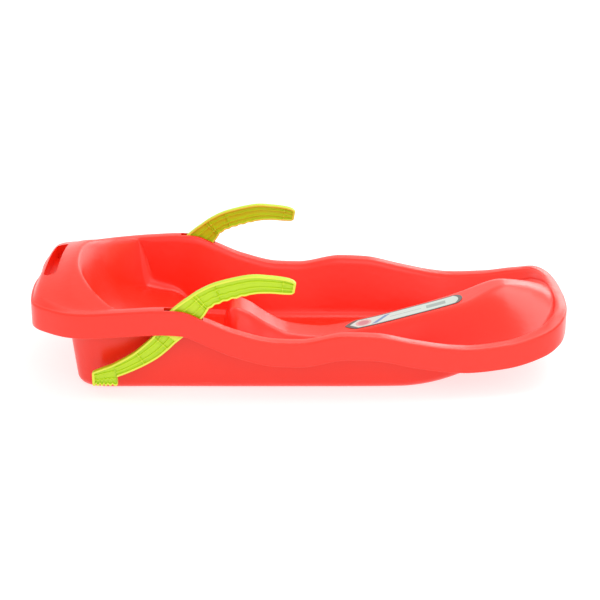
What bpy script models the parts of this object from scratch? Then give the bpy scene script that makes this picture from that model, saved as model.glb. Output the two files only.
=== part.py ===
"""One-seat moulded plastic bob sled with two hand brakes.

The hull is one moulded skin: a tub with a rolled rim whose skirt hangs down all round, a bucket seat with
a raised back and a hand hold behind it, a pommel, a spine between two foot wells, and side walls that run
on below the seat as runners. A brake lever passes through a slot in each side of the rim and turns on a
steel pin that sits between the skirt and the tub wall.

+X is the nose, +Y the rider's left, +Z up. The origin is on the ground, under the middle of the length.
"""
import math

import bmesh
import bpy
from mathutils import Matrix, Vector

# Overall sizes
LENGTH = 0.823
WIDTH = 0.384
RIM_HEIGHT = 0.141

# Hull mouldings
WALL = 0.003
SKIRT_HEIGHT = 0.038
RIM_EDGE_RADIUS = 0.003
SIDE_INSET = 0.018
REAR_OVERHANG = 0.052
NOSE_INSET = 0.0135
SIDE_DRAFT = 0.025
REAR_DRAFT = 0.015
NOSE_DRAFT = 0.006
BILGE_RADIUS = 0.014
RUNNER_DEPTH = 0.002

# Keel: flat, then an upward sweep over the last stretch to the nose
NOSE_LIFT_LENGTH = 0.2635
KEEL_RADIUS = 0.25
NOSE_DEPTH = 0.030
KEEL_BLEND = 0.020

# Deck behind the seat: it rises from the rear edge, which rounds forward at the sides, to the back's top
DECK_RISE = 0.040
DECK_HALF_WIDTH = 0.172
DECK_DOME_POWER = 1.2
DECK_EDGE_BLEND = 0.006
REAR_ROUNDING = 0.28
REAR_ROUNDING_POWER = 7
RIDGE_SOFTNESS = 0.009

# Back of the seat: its top edge, how far that edge sweeps forward at the sides, and the steep side faces
# that stand below the swept edge
BACK_SETBACK = 0.0625
BACK_SWEEP = 0.036
BACK_SWEEP_WIDTH = 0.140
BACK_SWEEP_POWER = 2.5
BACK_SIDE_SLOPE = 2.5
BACK_SIDE_SOFTNESS = 0.020
ROW_SHIFT_LENGTH = 0.139

# Slope of the hump over the toes where it comes down to the nose rim
NOSE_FALL = 0.45

# Hand hold through the rear deck, and the hole for a tow line in the nose
GRIP_LENGTH = 0.150
GRIP_WIDTH = 0.020
GRIP_MARGIN = 0.0185
TOW_HOLE_DIAMETER = 0.008
TOW_HOLE_DROP = 0.013

# Brakes
PIVOT_FROM_REAR = 0.2255
PIVOT_DROP = 0.0255
PIN_DIAMETER = 0.006
PIN_SEAT_DEPTH = 0.0012
BOSS_DIAMETER = 0.014
LEVER_THICKNESS = 0.010
LEVER_FLANGE = 0.0032
LEVER_WEB = 0.0036
LEVER_SIDE_GAP = 0.0008
LEVER_SWING = math.radians(25)
SLOT_CLEARANCE = 0.0015

# Brake foot: each tooth rises, runs flat and falls at these shares of the pitch
TOOTH_COUNT = 6
TOOTH_DEPTH = 0.0035
FOOT_DROP = 0.0085
TOOTH_RISE = 0.15
TOOTH_FLAT = 0.65
TOOTH_FALL = 0.85
FOOT_STATIONS = 7

# Recess in each face of a lever: it leaves out both ends and the hub
LEVER_STATIONS = 40
RECESS_START = 0.06
RECESS_END = 0.95
RECESS_START_RAMP = 0.02
RECESS_END_RAMP = 0.05
HUB_HALF_LENGTH = 0.020
HUB_RAMP = 0.004
SHALLOWEST_RECESS = 0.0003
FLANGE_SHARE_LIMIT = 0.3

# Label: pointed at its rear end and rounded at its front, over these shares of its length
LABEL_FROM_NOSE = 0.3405
LABEL_LENGTH = 0.184
LABEL_WIDTH = 0.037
LABEL_THICKNESS = 0.0005
LABEL_POINT = 0.09
LABEL_POINT_POWER = 0.7
LABEL_ROUND = 0.07
LABEL_END_WIDTH = 0.12
LABEL_STEPS = 24

# Fits
GAP = 0.0003

# Mesh density: points lie closer together near the hull's middle line, and along the seat
ALONG = 58
ACROSS = 22
ACROSS_POWER = 1.3
SEAT_DENSITY = 1.1
SEAT_DENSITY_LENGTH = 0.21
SEAT_DENSITY_RAMP = 0.05
RIM_SEGMENTS = 3
UNDER_DECK_STEPS = 4
BILGE_SHARES = (1.0, 0.45, 0.12, 0.0)
APRON_SHARE = 0.35
OFFSET_DIRECTIONS = 8
OFFSET_REACHES = (0.5, 0.85, 1.0)
RIM_LEAN = 0.0003
ROUND = 24
SLOT_END_STEPS = 8
LINE_PARTS = 8
TANGENT_REACH = 0.05

RED = (0.80, 0.028, 0.012, 1.0)
LIME = (0.48, 0.66, 0.015, 1.0)
STEEL = (0.60, 0.61, 0.62, 1.0)
PAPER = (0.80, 0.83, 0.82, 1.0)

HALF_LENGTH = LENGTH / 2
HALF_WIDTH = WIDTH / 2
BACK_X = BACK_SETBACK - HALF_LENGTH
PIVOT_X = PIVOT_FROM_REAR - HALF_LENGTH
KEEL_START = HALF_LENGTH - NOSE_LIFT_LENGTH
BAND_WIDTH = SIDE_INSET + WALL + RIM_EDGE_RADIUS

# Half of the plan, from the rear centre round to the nose centre. Each station: along and across as shares
# of the half length and half width, then how much of the rear, side and nose insets the tub takes there.
PLAN = [
    (-0.995, 0.000, 1.00, 0.00, 0.00),
    (-1.000, 0.260, 1.00, 0.00, 0.00),
    (-0.992, 0.520, 1.00, 0.10, 0.00),
    (-0.972, 0.720, 0.94, 0.33, 0.00),
    (-0.916, 0.841, 0.79, 0.50, 0.00),
    (-0.802, 0.963, 0.42, 0.86, 0.00),
    (-0.632, 1.000, 0.00, 1.00, 0.00),
    (-0.243, 1.000, 0.00, 1.00, 0.00),
    (0.146, 1.000, 0.00, 1.00, 0.00),
    (0.365, 0.990, 0.00, 1.00, 0.00),
    (0.559, 0.953, 0.00, 1.00, 0.00),
    (0.754, 0.896, 0.00, 1.00, 0.30),
    (0.875, 0.818, 0.00, 1.00, 0.60),
    (0.946, 0.688, 0.00, 0.90, 0.85),
    (0.983, 0.469, 0.00, 0.55, 1.00),
    (0.997, 0.234, 0.00, 0.28, 1.00),
    (1.000, 0.000, 0.00, 0.00, 1.00),
]
REAR_CORNER = 3
NOSE_CORNER = 13

# Height of the rim below its crest, along the hull
RIM_LINE = [
    (-1.000, -0.0060), (-0.855, -0.0080), (-0.608, -0.0020), (-0.500, 0.0), (-0.430, -0.0015),
    (-0.338, -0.0170), (-0.241, -0.0340), (-0.090, -0.0490), (-0.005, -0.0500), (0.165, -0.0390),
    (0.265, -0.0405), (0.403, -0.0520), (0.542, -0.0620), (0.608, -0.0640), (0.748, -0.0600),
    (0.882, -0.0480), (1.000, -0.0335),
]

# Deck behind the seat: distance from the rear edge in metres, and share of the deck's rise
DECK_PROFILE = [
    (0.000, 0.00), (0.003, 0.03), (0.0165, 0.60), (0.024, 0.70), (0.038, 0.80), (0.066, 1.00),
]

# Seat surface at the middle: distance in metres ahead of the back's top edge, and height
BACK_PROFILE = [
    (-0.060, 0.290), (-0.030, 0.236), (0.000, 0.181), (0.020, 0.140), (0.035, 0.106), (0.051, 0.083),
    (0.070, 0.069), (0.089, 0.060), (0.110, 0.054), (0.137, 0.049), (0.150, 0.042), (0.166, 0.024),
    (0.182, 0.013), (0.215, 0.010), (0.250, 0.008), (0.300, 0.005),
]

# Pommel and spine: place along, height, half width of the crown, half width of the foot
SPINE = [
    (-0.345, 0.004, 0.004, 0.026), (-0.318, 0.020, 0.010, 0.036), (-0.292, 0.062, 0.018, 0.052),
    (-0.268, 0.083, 0.024, 0.066), (-0.245, 0.086, 0.025, 0.072), (-0.205, 0.080, 0.024, 0.070),
    (-0.122, 0.058, 0.022, 0.062),
    (-0.041, 0.043, 0.022, 0.056), (0.080, 0.038, 0.022, 0.054), (0.202, 0.046, 0.022, 0.056),
    (0.445, 0.072, 0.022, 0.066), (0.615, 0.093, 0.024, 0.092), (0.780, 0.1215, 0.030, 0.132),
    (0.865, 0.119, 0.034, 0.138), (0.920, 0.1135, 0.032, 0.132), (0.985, 0.1040, 0.030, 0.122),
]

# Brake lever's middle line at rest, from the pivot: along, up and the depth of the lever there
LEVER_PATH = [
    (0.1765, 0.0595, 0.0140), (0.1720, 0.0603, 0.0205), (0.1600, 0.0625, 0.0242), (0.1363, 0.0648, 0.0258),
    (0.1100, 0.0640, 0.0285), (0.0683, 0.0536, 0.0300), (0.0440, 0.0420, 0.0310), (0.0290, 0.0280, 0.0375),
    (0.0140, 0.0140, 0.0410), (0.0000, 0.0000, 0.0410), (-0.0110, -0.0130, 0.0355),
    (-0.0198, -0.0245, 0.0308), (-0.0356, -0.0387, 0.0288), (-0.0571, -0.0534, 0.0246),
    (-0.0848, -0.0674, 0.0213),
    (-0.1096, -0.0759, 0.0190), (-0.1210, -0.0790, 0.0160), (-0.1235, -0.0797, 0.0130),
]


def clear_scene():
    for item in list(bpy.data.objects):
        bpy.data.objects.remove(item, do_unlink=True)


def material(name, colour, roughness, metallic=0.0):
    made = bpy.data.materials.new(name)
    made.use_nodes = True
    shader = made.node_tree.nodes["Principled BSDF"]
    shader.inputs["Base Color"].default_value = colour
    shader.inputs["Roughness"].default_value = roughness
    shader.inputs["Metallic"].default_value = metallic
    return made


def add_object(name, mesh_data, made_of=None):
    item = bpy.data.objects.new(name, mesh_data)
    bpy.context.collection.objects.link(item)
    if made_of is not None:
        mesh_data.materials.append(made_of)
    return item


def mesh_from(name, points, faces):
    mesh_data = bpy.data.meshes.new(name)
    mesh_data.from_pydata([tuple(point) for point in points], [], faces)
    mesh_data.update()
    return mesh_data


def smoothstep(low, high, value):
    share = min(max((value - low) / (high - low), 0.0), 1.0)
    return share * share * (3 - 2 * share)


def soft_min(first, second, softness):
    """The lower of two heights, with the meeting edge rounded."""
    share = max(softness - abs(first - second), 0.0) / softness
    return min(first, second) - share * share * softness / 4


def curve_through(stations, value):
    """A smooth line that never overshoots its stations (first item along, second item height)."""
    if value <= stations[0][0]:
        return stations[0][1]
    if value >= stations[-1][0]:
        return stations[-1][1]
    index = max(i for i, station in enumerate(stations[:-1]) if station[0] <= value)
    slopes = []
    for i in (index, index + 1):
        if i in (0, len(stations) - 1):
            slopes.append(0.0 if len(stations) > 2 else secant(stations, 0))
            continue
        before = secant(stations, i - 1)
        after = secant(stations, i)
        slopes.append(0.0 if before * after <= 0 else 2 * before * after / (before + after))
    span = stations[index + 1][0] - stations[index][0]
    t = (value - stations[index][0]) / span
    start = stations[index][1] * (2 * t ** 3 - 3 * t ** 2 + 1) + slopes[0] * span * (t ** 3 - 2 * t ** 2 + t)
    end = stations[index + 1][1] * (3 * t ** 2 - 2 * t ** 3) + slopes[1] * span * (t ** 3 - t ** 2)
    return start + end


def secant(stations, index):
    first, second = stations[index], stations[index + 1]
    return (second[1] - first[1]) / (second[0] - first[0])


def spline_point(points, place):
    """A point on the Catmull-Rom curve through a list of points; place counts stations."""
    index = min(int(place), len(points) - 2)
    t = place - index
    before = points[index - 1] if index > 0 else mirrored_end(points, 0)
    after = points[index + 2] if index + 2 < len(points) else mirrored_end(points, -1)
    out = []
    for a, b, c, d in zip(before, points[index], points[index + 1], after):
        out.append(0.5 * (2 * b + (c - a) * t + (2 * a - 5 * b + 4 * c - d) * t ** 2
                          + (3 * b - a - 3 * c + d) * t ** 3))
    return tuple(out)


def mirrored_end(points, end):
    """The station past the centre line: the second one from that end, on the other side."""
    if end == 0:
        second = points[1]
    else:
        second = points[-2]
    return (second[0], -second[1]) + tuple(second[2:])


def rim_top(x):
    return RIM_HEIGHT + curve_through(RIM_LINE, x / HALF_LENGTH)


def keel(x):
    """Height of the underside of the runners."""
    reach = max(x - KEEL_START, 0.0)
    if reach == 0:
        return 0.0
    return soft_min(reach * reach / (2 * KEEL_RADIUS), rim_top(x) - NOSE_DEPTH, KEEL_BLEND)


def spine_value(x, item):
    return curve_through([(station[0], station[item]) for station in SPINE], x / HALF_LENGTH)


def nose_limit(x):
    """The hump over the toes comes down to just under the rim where it meets the nose."""
    inner = HALF_LENGTH - NOSE_INSET - WALL
    return rim_top(HALF_LENGTH) - RIM_EDGE_RADIUS + NOSE_FALL * max(inner - x, 0.0)


def deck_top(x, y):
    """The domed deck behind the seat."""
    rear_edge = -HALF_LENGTH * (1 - REAR_ROUNDING * abs(y / HALF_WIDTH) ** REAR_ROUNDING_POWER)
    dome = max(1 - (y / DECK_HALF_WIDTH) ** 2, 0.0) ** DECK_DOME_POWER
    return rim_top(x) + DECK_RISE * curve_through(DECK_PROFILE, x - rear_edge) * dome


def back_sweep(y):
    """How far forward of its middle the back's edge lies, at a distance from the centre line."""
    return BACK_SWEEP * abs(y / BACK_SWEEP_WIDTH) ** BACK_SWEEP_POWER


def seat_top(x, y):
    """The bucket: reclined back with steep sides, lower back, seat well and the floor of the foot wells."""
    reach = x - BACK_X
    middle = curve_through(BACK_PROFILE, reach)
    side = curve_through(BACK_PROFILE, 0.0) + BACK_SIDE_SLOPE * (back_sweep(y) - reach)
    lift = keel(x) if x > 0 else 0.0
    return lift - soft_min(-middle, -side, BACK_SIDE_SOFTNESS)


def floor_top(x, y):
    """Height of the inside of the hull, from wall to wall."""
    height = soft_min(deck_top(x, y), seat_top(x, y), RIDGE_SOFTNESS) if x < 0 else seat_top(x, y)
    crown = min(spine_value(x, 1), nose_limit(x))
    if crown > height:
        share = 1 - smoothstep(spine_value(x, 2), spine_value(x, 3), abs(y))
        height += (crown - height) * share
    return height


def below(surface, x, y):
    """A surface moved down by the wall's thickness, measured across its slope."""
    lowest = surface(x, y) - WALL
    for step in range(OFFSET_DIRECTIONS):
        angle = 2 * math.pi * step / OFFSET_DIRECTIONS
        for reach in OFFSET_REACHES:
            beside = surface(x + WALL * reach * math.cos(angle), y + WALL * reach * math.sin(angle))
            lowest = min(lowest, beside - WALL * math.sqrt(1 - reach ** 2))
    return lowest


def floor_under(x, y):
    """The underside of the skin."""
    return max(below(floor_top, x, y), keel(x) + RUNNER_DEPTH)


def plan_point(place, layer):
    """A point of the half plan: layer 0 is the rim's outer edge, 1 the tub wall under it, 2 its foot."""
    along, across, rear, side, nose = spline_point(PLAN, place)
    x = along * HALF_LENGTH
    y = min(across, 1.0) * HALF_WIDTH
    if layer >= 1:
        x += REAR_OVERHANG * rear - NOSE_INSET * nose
        y -= SIDE_INSET * side
    if layer == 2:
        x += REAR_DRAFT * rear - NOSE_DRAFT * nose
        y -= SIDE_DRAFT * side
    return Vector((x, max(y, 0.0)))


def spaced_places(start, end, count, power=1.0):
    """Places along the half plan from one station to another, spaced along the rim's edge.

    Points lie closer together along the seat, and with a power above 1 near the start.
    """
    steps = 200
    places = [start + (end - start) * i / steps for i in range(steps + 1)]
    lengths = [0.0]
    for first, second in zip(places, places[1:]):
        ahead = plan_point(second, 0)
        behind = plan_point(first, 0)
        lengths.append(lengths[-1] + (ahead - behind).length * seat_density(behind.x))
    out = []
    for wanted in range(count + 1):
        target = lengths[-1] * (wanted / count) ** power
        index = max(i for i in range(steps) if lengths[i] <= target)
        share = (target - lengths[index]) / (lengths[index + 1] - lengths[index])
        out.append(places[index] + (end - start) / steps * share)
    return out


def seat_density(x):
    end = BACK_X + SEAT_DENSITY_LENGTH
    return 1 + SEAT_DENSITY * (smoothstep(BACK_X - SEAT_DENSITY_RAMP, BACK_X, x)
                               - smoothstep(end - SEAT_DENSITY_RAMP, end, x))


def ring_stations():
    """The stations round the whole plan, as (place, side), from the right rear corner forward."""
    last = len(PLAN) - 1
    side = spaced_places(REAR_CORNER, NOSE_CORNER, ALONG)
    nose = spaced_places(last, NOSE_CORNER, ACROSS // 2, ACROSS_POWER)[::-1]
    rear = spaced_places(0, REAR_CORNER, ACROSS // 2, ACROSS_POWER)
    right = [(place, -1) for place in side[:-1]] + [(place, -1) for place in nose[:-1]]
    left = [(place, 1) for place in reversed(nose)] + [(place, 1) for place in reversed(side[:-1])]
    back = [(place, 1) for place in reversed(rear[:-1])] + [(place, -1) for place in rear[1:-1]]
    return right + left + back


def ring_point(station, layer):
    place, side = station
    point = plan_point(place, layer)
    return Vector((point.x, point.y * side))


def ring_normals(points):
    """Inward normals of a closed plan outline that runs anticlockwise."""
    out = []
    for index in range(len(points)):
        ahead = points[(index + 1) % len(points)] - points[index - 1]
        out.append(Vector((-ahead.y, ahead.x)).normalized())
    return out


class Hull:
    """The rings of the hull: each ring is a closed loop of points with the same count."""

    def __init__(self):
        self.stations = ring_stations()
        self.count = len(self.stations)
        self.layers = [[ring_point(station, layer) for station in self.stations] for layer in range(3)]
        self.normals = [ring_normals(layer) for layer in self.layers]
        self.deckness = self.ring(self.deck_share)

    def outer_wall(self, index, height):
        """The tub's outer face in plan at a height, with the rounded bilge at its foot."""
        top = rim_top(self.layers[0][index].x)
        foot = keel(self.layers[2][index].x)
        share = min(max((top - height) / (top - foot), 0.0), 1.0)
        point = self.layers[1][index].lerp(self.layers[2][index], share)
        above = height - foot
        if above < BILGE_RADIUS:
            turn = BILGE_RADIUS - math.sqrt(max(BILGE_RADIUS ** 2 - (BILGE_RADIUS - above) ** 2, 0.0))
            point = point + self.normals[2][index] * turn
        return point

    def inner_wall(self, index, height):
        return self.outer_wall(index, height) + self.normals[1][index] * WALL

    def rim_inset(self, index, inset):
        return self.layers[0][index] + self.normals[0][index] * inset

    def rim_height(self, index):
        return rim_top(self.layers[0][index].x)

    def deck_share(self, index):
        """1 where the deck meets the rim level or higher, 0 where the inside falls away from the rim."""
        inner = self.rim_inset(index, BAND_WIDTH)
        if inner.x > 0:
            return 0.0
        return smoothstep(-DECK_EDGE_BLEND, 0.0, floor_top(inner.x, inner.y) - self.rim_height(index))

    def band_edge(self, index):
        """Inner edge of the rim band: the tub's inside face, or at the deck the same width of band."""
        band = self.inner_wall(index, self.rim_height(index))
        return band.lerp(self.rim_inset(index, SIDE_INSET + WALL), self.deckness[index])

    def floor_edge(self, index, surface, inside):
        """Where a floor surface meets the wall: the plan point and height agree after a few rounds."""
        height = 0.5 * RIM_HEIGHT
        band_edge = self.band_edge(index) + self.normals[0][index] * RIM_EDGE_RADIUS
        for _ in range(12):
            point = self.inner_wall(index, height)
            if inside:
                point = point.lerp(band_edge, self.deckness[index])
            height = 0.5 * height + 0.5 * surface(point.x, point.y)
        return Vector((point.x, point.y, surface(point.x, point.y)))

    def ring(self, function):
        return [function(index) for index in range(self.count)]

    def outside_rings(self):
        """Rings from the floor's edge up the inside wall, over the rim and skirt, and down to the lip."""
        rings = []
        top_edge = self.ring(lambda i: self.floor_edge(i, floor_top, True))
        rings.append(top_edge)

        def on_deck(index, plan, height):
            """A point at a height beside the deck, and on the deck's surface where there is a deck."""
            rise = max(deck_top(plan.x, plan.y) - height, 0.0)
            return Vector((plan.x, plan.y, height + rise * self.deckness[index]))

        def inner_corner(index):
            plan = self.band_edge(index) + self.normals[0][index] * RIM_LEAN
            top = self.rim_height(index)
            halfway = 0.5 * (top + top_edge[index].z)
            return on_deck(index, plan, max(top - RIM_EDGE_RADIUS, min(halfway, top)))
        rings.append(self.ring(inner_corner))

        def band_inner(index):
            plan = self.band_edge(index) - self.normals[0][index] * RIM_EDGE_RADIUS
            return on_deck(index, plan, self.rim_height(index))
        rings.append(self.ring(band_inner))

        def band_middle(index):
            plan = band_inner(index).xy.lerp(self.rim_inset(index, RIM_EDGE_RADIUS), 0.5)
            return on_deck(index, plan, self.rim_height(index))
        rings.append(self.ring(band_middle))

        def rim_point(inset, drop):
            def place(index):
                plan = self.rim_inset(index, inset)
                return Vector((plan.x, plan.y, self.rim_height(index) - drop))
            return place
        for step in range(RIM_SEGMENTS + 1):
            angle = 0.5 * math.pi * step / RIM_SEGMENTS
            inset = RIM_EDGE_RADIUS * (1 - math.sin(angle))
            rings.append(self.ring(rim_point(inset, RIM_EDGE_RADIUS * (1 - math.cos(angle)))))
        rings.append(self.ring(rim_point(0.0, SKIRT_HEIGHT)))
        rings.append(self.ring(rim_point(WALL, SKIRT_HEIGHT)))
        rings.append(self.ring(rim_point(WALL, WALL)))

        def under_deck(share):
            def place(index):
                outer = self.rim_inset(index, WALL)
                plan = outer.lerp(self.layers[1][index], share)
                top = self.rim_height(index)
                rise = max(below(deck_top, plan.x, plan.y) + WALL - top, 0.0) * self.deckness[index]
                return Vector((plan.x, plan.y, top + rise - WALL))
            return place
        for step in range(1, UNDER_DECK_STEPS + 1):
            rings.append(self.ring(under_deck(step / UNDER_DECK_STEPS)))

        def wall_at(share, inward):
            def place(index):
                height = keel(self.layers[2][index].x) + BILGE_RADIUS * share
                plan = self.outer_wall(index, height)
                plan = plan + self.normals[2][index] * inward
                return Vector((plan.x, plan.y, height))
            return place
        for share in BILGE_SHARES:
            rings.append(self.ring(wall_at(share, 0.0)))
        rings.append(self.ring(wall_at(0.0, WALL)))
        under_edge = self.ring(lambda i: self.floor_edge(i, floor_under, False))

        def apron(index):
            lip = rings[-1][index]
            edge = under_edge[index]
            height = lip.z + (edge.z - lip.z) * APRON_SHARE
            plan = self.inner_wall(index, height)
            return Vector((plan.x, plan.y, height))
        rings.append(self.ring(apron))
        rings.append(under_edge)
        return rings

    def patch(self, edge, surface, shift):
        """A grid of points inside a ring, blended from its four sides, at the surface's height."""
        def at(row, column):
            if column == 0:
                return edge[row]
            if column == ACROSS:
                return edge[(2 * ALONG + ACROSS - row) % self.count]
            if row == ALONG:
                return edge[ALONG + column]
            return edge[(self.count - column) % self.count]
        grid = {}
        for row in range(1, ALONG):
            for column in range(1, ACROSS):
                u = row / ALONG
                v = share_across(column)
                sides = at(row, 0) * (1 - v) + at(row, ACROSS) * v
                ends = at(0, column) * (1 - u) + at(ALONG, column) * u
                corners = (at(0, 0) * (1 - u) * (1 - v) + at(ALONG, 0) * u * (1 - v)
                           + at(0, ACROSS) * (1 - u) * v + at(ALONG, ACROSS) * u * v)
                plan = sides + ends - corners
                x = plan.x - shift(plan.x, plan.y)
                grid[row, column] = Vector((x, plan.y, surface(x, plan.y)))
        return grid


def share_across(column):
    """Place of a row of points across the hull, from 0 at the right wall to 1 at the left."""
    side = 2 * column / ACROSS - 1
    return 0.5 + 0.5 * math.copysign(abs(side) ** ACROSS_POWER, side)


def ridge_shift(x, y):
    """Moves the points near the back's edge rearward at mid-hull, so that a line of them follows the edge."""
    edge = BACK_X + BACK_SWEEP
    before = smoothstep(BAND_WIDTH - HALF_LENGTH, edge, x)
    after = 1 - smoothstep(edge, BACK_X + ROW_SHIFT_LENGTH, x)
    return max(BACK_SWEEP - back_sweep(y), 0.0) * before * after


def grid_faces(hull, ring_offset, grid_offset):
    """Quads between a ring's points and the grid inside it."""
    def number(row, column):
        if column == 0:
            return ring_offset + row
        if column == ACROSS:
            return ring_offset + (2 * ALONG + ACROSS - row) % hull.count
        if row == ALONG:
            return ring_offset + ALONG + column
        if row == 0:
            return ring_offset + (hull.count - column) % hull.count
        return grid_offset + (row - 1) * (ACROSS - 1) + column - 1
    faces = []
    for row in range(ALONG):
        for column in range(ACROSS):
            faces.append((number(row, column), number(row + 1, column),
                          number(row + 1, column + 1), number(row, column + 1)))
    return faces


def hull_mesh():
    hull = Hull()
    rings = hull.outside_rings()
    points = [point for ring in rings for point in ring]
    faces = []
    for row in range(len(rings) - 1):
        for index in range(hull.count):
            following = (index + 1) % hull.count
            faces.append((row * hull.count + index, (row + 1) * hull.count + index,
                          (row + 1) * hull.count + following, row * hull.count + following))
    last_ring = (len(rings) - 1) * hull.count
    patches = ((rings[0], 0, floor_top, ridge_shift, False),
               (rings[-1], last_ring, floor_under, lambda x, y: 0.0, True))
    for ring, ring_offset, surface, shift, flip in patches:
        grid_offset = len(points)
        points.extend(hull.patch(ring, surface, shift).values())
        made = grid_faces(hull, ring_offset, grid_offset)
        faces.extend([tuple(reversed(face)) for face in made] if flip else made)
    return mesh_from("hull", points, faces)


def cylinder_y(name, centre, radius, start, end):
    """A cylinder along Y between two places."""
    form = bmesh.new()
    bmesh.ops.create_cone(form, cap_ends=True, segments=ROUND, radius1=radius, radius2=radius,
                          depth=abs(end - start))
    turn = Matrix.Rotation(math.pi / 2, 4, "X")
    middle = Vector((centre[0], 0.5 * (start + end), centre[1]))
    bmesh.ops.transform(form, matrix=Matrix.Translation(middle) @ turn, verts=form.verts)
    mesh_data = bpy.data.meshes.new(name)
    form.to_mesh(mesh_data)
    form.free()
    return mesh_data


def rounded_slot(name, centre, length, width, low, high):
    """A vertical slot with round ends; length runs along Y."""
    form = bmesh.new()
    outline = []
    radius = width / 2
    for side in (1, -1):
        for step in range(SLOT_END_STEPS + 1):
            angle = math.pi * step / SLOT_END_STEPS + (0 if side > 0 else math.pi)
            outline.append((centre[0] + radius * math.cos(angle),
                            centre[1] + side * (length / 2 - radius) + radius * math.sin(angle)))
    return prism(form, name, outline, low, high)


def prism(form, name, outline, low, high):
    floor = [form.verts.new((x, y, low)) for x, y in outline]
    lid = [form.verts.new((x, y, high)) for x, y in outline]
    form.faces.new(list(reversed(floor)))
    form.faces.new(lid)
    for index in range(len(outline)):
        following = (index + 1) % len(outline)
        form.faces.new((floor[index], floor[following], lid[following], lid[index]))
    mesh_data = bpy.data.meshes.new(name)
    form.to_mesh(mesh_data)
    form.free()
    return mesh_data


def guide(name, mesh_data):
    """A cutting or joining form that isn't part of the object."""
    item = add_object(name, mesh_data)
    item.hide_render = True
    item.display_type = "WIRE"
    return item


def apply_boolean(target, operand, operation):
    modifier = target.modifiers.new(operand.name, "BOOLEAN")
    modifier.operation = operation
    modifier.solver = "EXACT"
    modifier.object = operand


def pivot_height():
    return rim_top(PIVOT_X) - PIVOT_DROP


def skirt_inner_y():
    return HALF_WIDTH - WALL


def lever_outer_y():
    return skirt_inner_y() - 2 * LEVER_SIDE_GAP


def lever_inner_y():
    return lever_outer_y() - LEVER_THICKNESS


def wall_outer_y(height):
    """Outer face of the side wall at the pivot's station."""
    top = rim_top(PIVOT_X)
    return HALF_WIDTH - SIDE_INSET - SIDE_DRAFT * (top - height) / top


def lever_outline():
    """Stations of the lever: middle line, unit normal and depth, in the side view from the pivot."""
    last = len(LEVER_PATH) - 1
    out = []
    for step in range(LEVER_STATIONS + 1):
        place = last * step / LEVER_STATIONS
        here = open_spline(LEVER_PATH, place)
        ahead = open_spline(LEVER_PATH, min(place + TANGENT_REACH, last))
        behind = open_spline(LEVER_PATH, max(place - TANGENT_REACH, 0.0))
        tangent = Vector((ahead[0] - behind[0], ahead[1] - behind[1])).normalized()
        middle = Vector((here[0], here[1]))
        out.append((middle, Vector((-tangent.y, tangent.x)), here[2], step / LEVER_STATIONS))
    return out


def open_spline(points, place):
    """Catmull-Rom through open points, with the end stations repeated."""
    index = min(int(place), len(points) - 2)
    t = place - index
    before = points[max(index - 1, 0)]
    after = points[min(index + 2, len(points) - 1)]
    out = []
    for a, b, c, d in zip(before, points[index], points[index + 1], after):
        out.append(0.5 * (2 * b + (c - a) * t + (2 * a - 5 * b + 4 * c - d) * t ** 2
                          + (3 * b - a - 3 * c + d) * t ** 3))
    return tuple(out)


def slot_span():
    """How far along the rim the lever's edges pass, over its whole swing."""
    outline = lever_outline()
    reach = []
    angles = 10
    for step in range(angles + 1):
        angle = LEVER_SWING * step / angles
        for side in (-1, 1):
            line = [middle + normal * depth / 2 * side for middle, normal, depth, _ in outline]
            turned = [(PIVOT_X + p.x * math.cos(angle) - p.y * math.sin(angle),
                       pivot_height() + p.x * math.sin(angle) + p.y * math.cos(angle)) for p in line]
            for first, second in zip(turned, turned[1:]):
                for part in range(LINE_PARTS):
                    x = first[0] + (second[0] - first[0]) * part / LINE_PARTS
                    z = first[1] + (second[1] - first[1]) * part / LINE_PARTS
                    if -WALL - GAP < z - rim_top(x) < GAP:
                        reach.append(x)
    return min(reach) - SLOT_CLEARANCE, max(reach) + SLOT_CLEARANCE


def joined(name, forms):
    """One mesh that holds several separate forms."""
    whole = bmesh.new()
    for form in forms:
        whole.from_mesh(form)
    mesh_data = bpy.data.meshes.new(name)
    whole.to_mesh(mesh_data)
    whole.free()
    return mesh_data


def boss_forms():
    """Bosses that hold the pin on the tub wall and inside the skirt, on both sides."""
    height = pivot_height()
    spans = [(wall_outer_y(height) - WALL / 2, lever_inner_y() - LEVER_SIDE_GAP),
             (lever_outer_y() + LEVER_SIDE_GAP, skirt_inner_y() + WALL / 2)]
    return [cylinder_y("boss", (PIVOT_X, height), BOSS_DIAMETER / 2, side * inner, side * outer)
            for side in (1, -1) for inner, outer in spans]


def bore_forms():
    """Blind bores for the pins."""
    radius = PIN_DIAMETER / 2 + GAP
    start = pin_start() - GAP
    end = pin_end() + GAP
    centre = (PIVOT_X, pivot_height())
    return [cylinder_y("bore", centre, radius, side * start, side * end) for side in (1, -1)]


def slot_forms():
    """Slots through the rim that the levers swing in."""
    rear, front = slot_span()
    inner = lever_inner_y() - LEVER_SIDE_GAP
    outer = lever_outer_y() + LEVER_SIDE_GAP
    forms = []
    for low, high in ((inner, outer), (-outer, -inner)):
        box = [(rear, low), (front, low), (front, high), (rear, high)]
        forms.append(prism(bmesh.new(), "slot", box, rim_top(front) - 2 * WALL, RIM_HEIGHT + WALL))
    return forms


def grip_form():
    """The hand hold behind the back."""
    grip_x = -HALF_LENGTH + GRIP_MARGIN + GRIP_WIDTH / 2
    return rounded_slot("grip", (grip_x, 0.0), GRIP_LENGTH, GRIP_WIDTH, RIM_HEIGHT - DECK_RISE,
                        RIM_HEIGHT + 2 * DECK_RISE)


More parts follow.
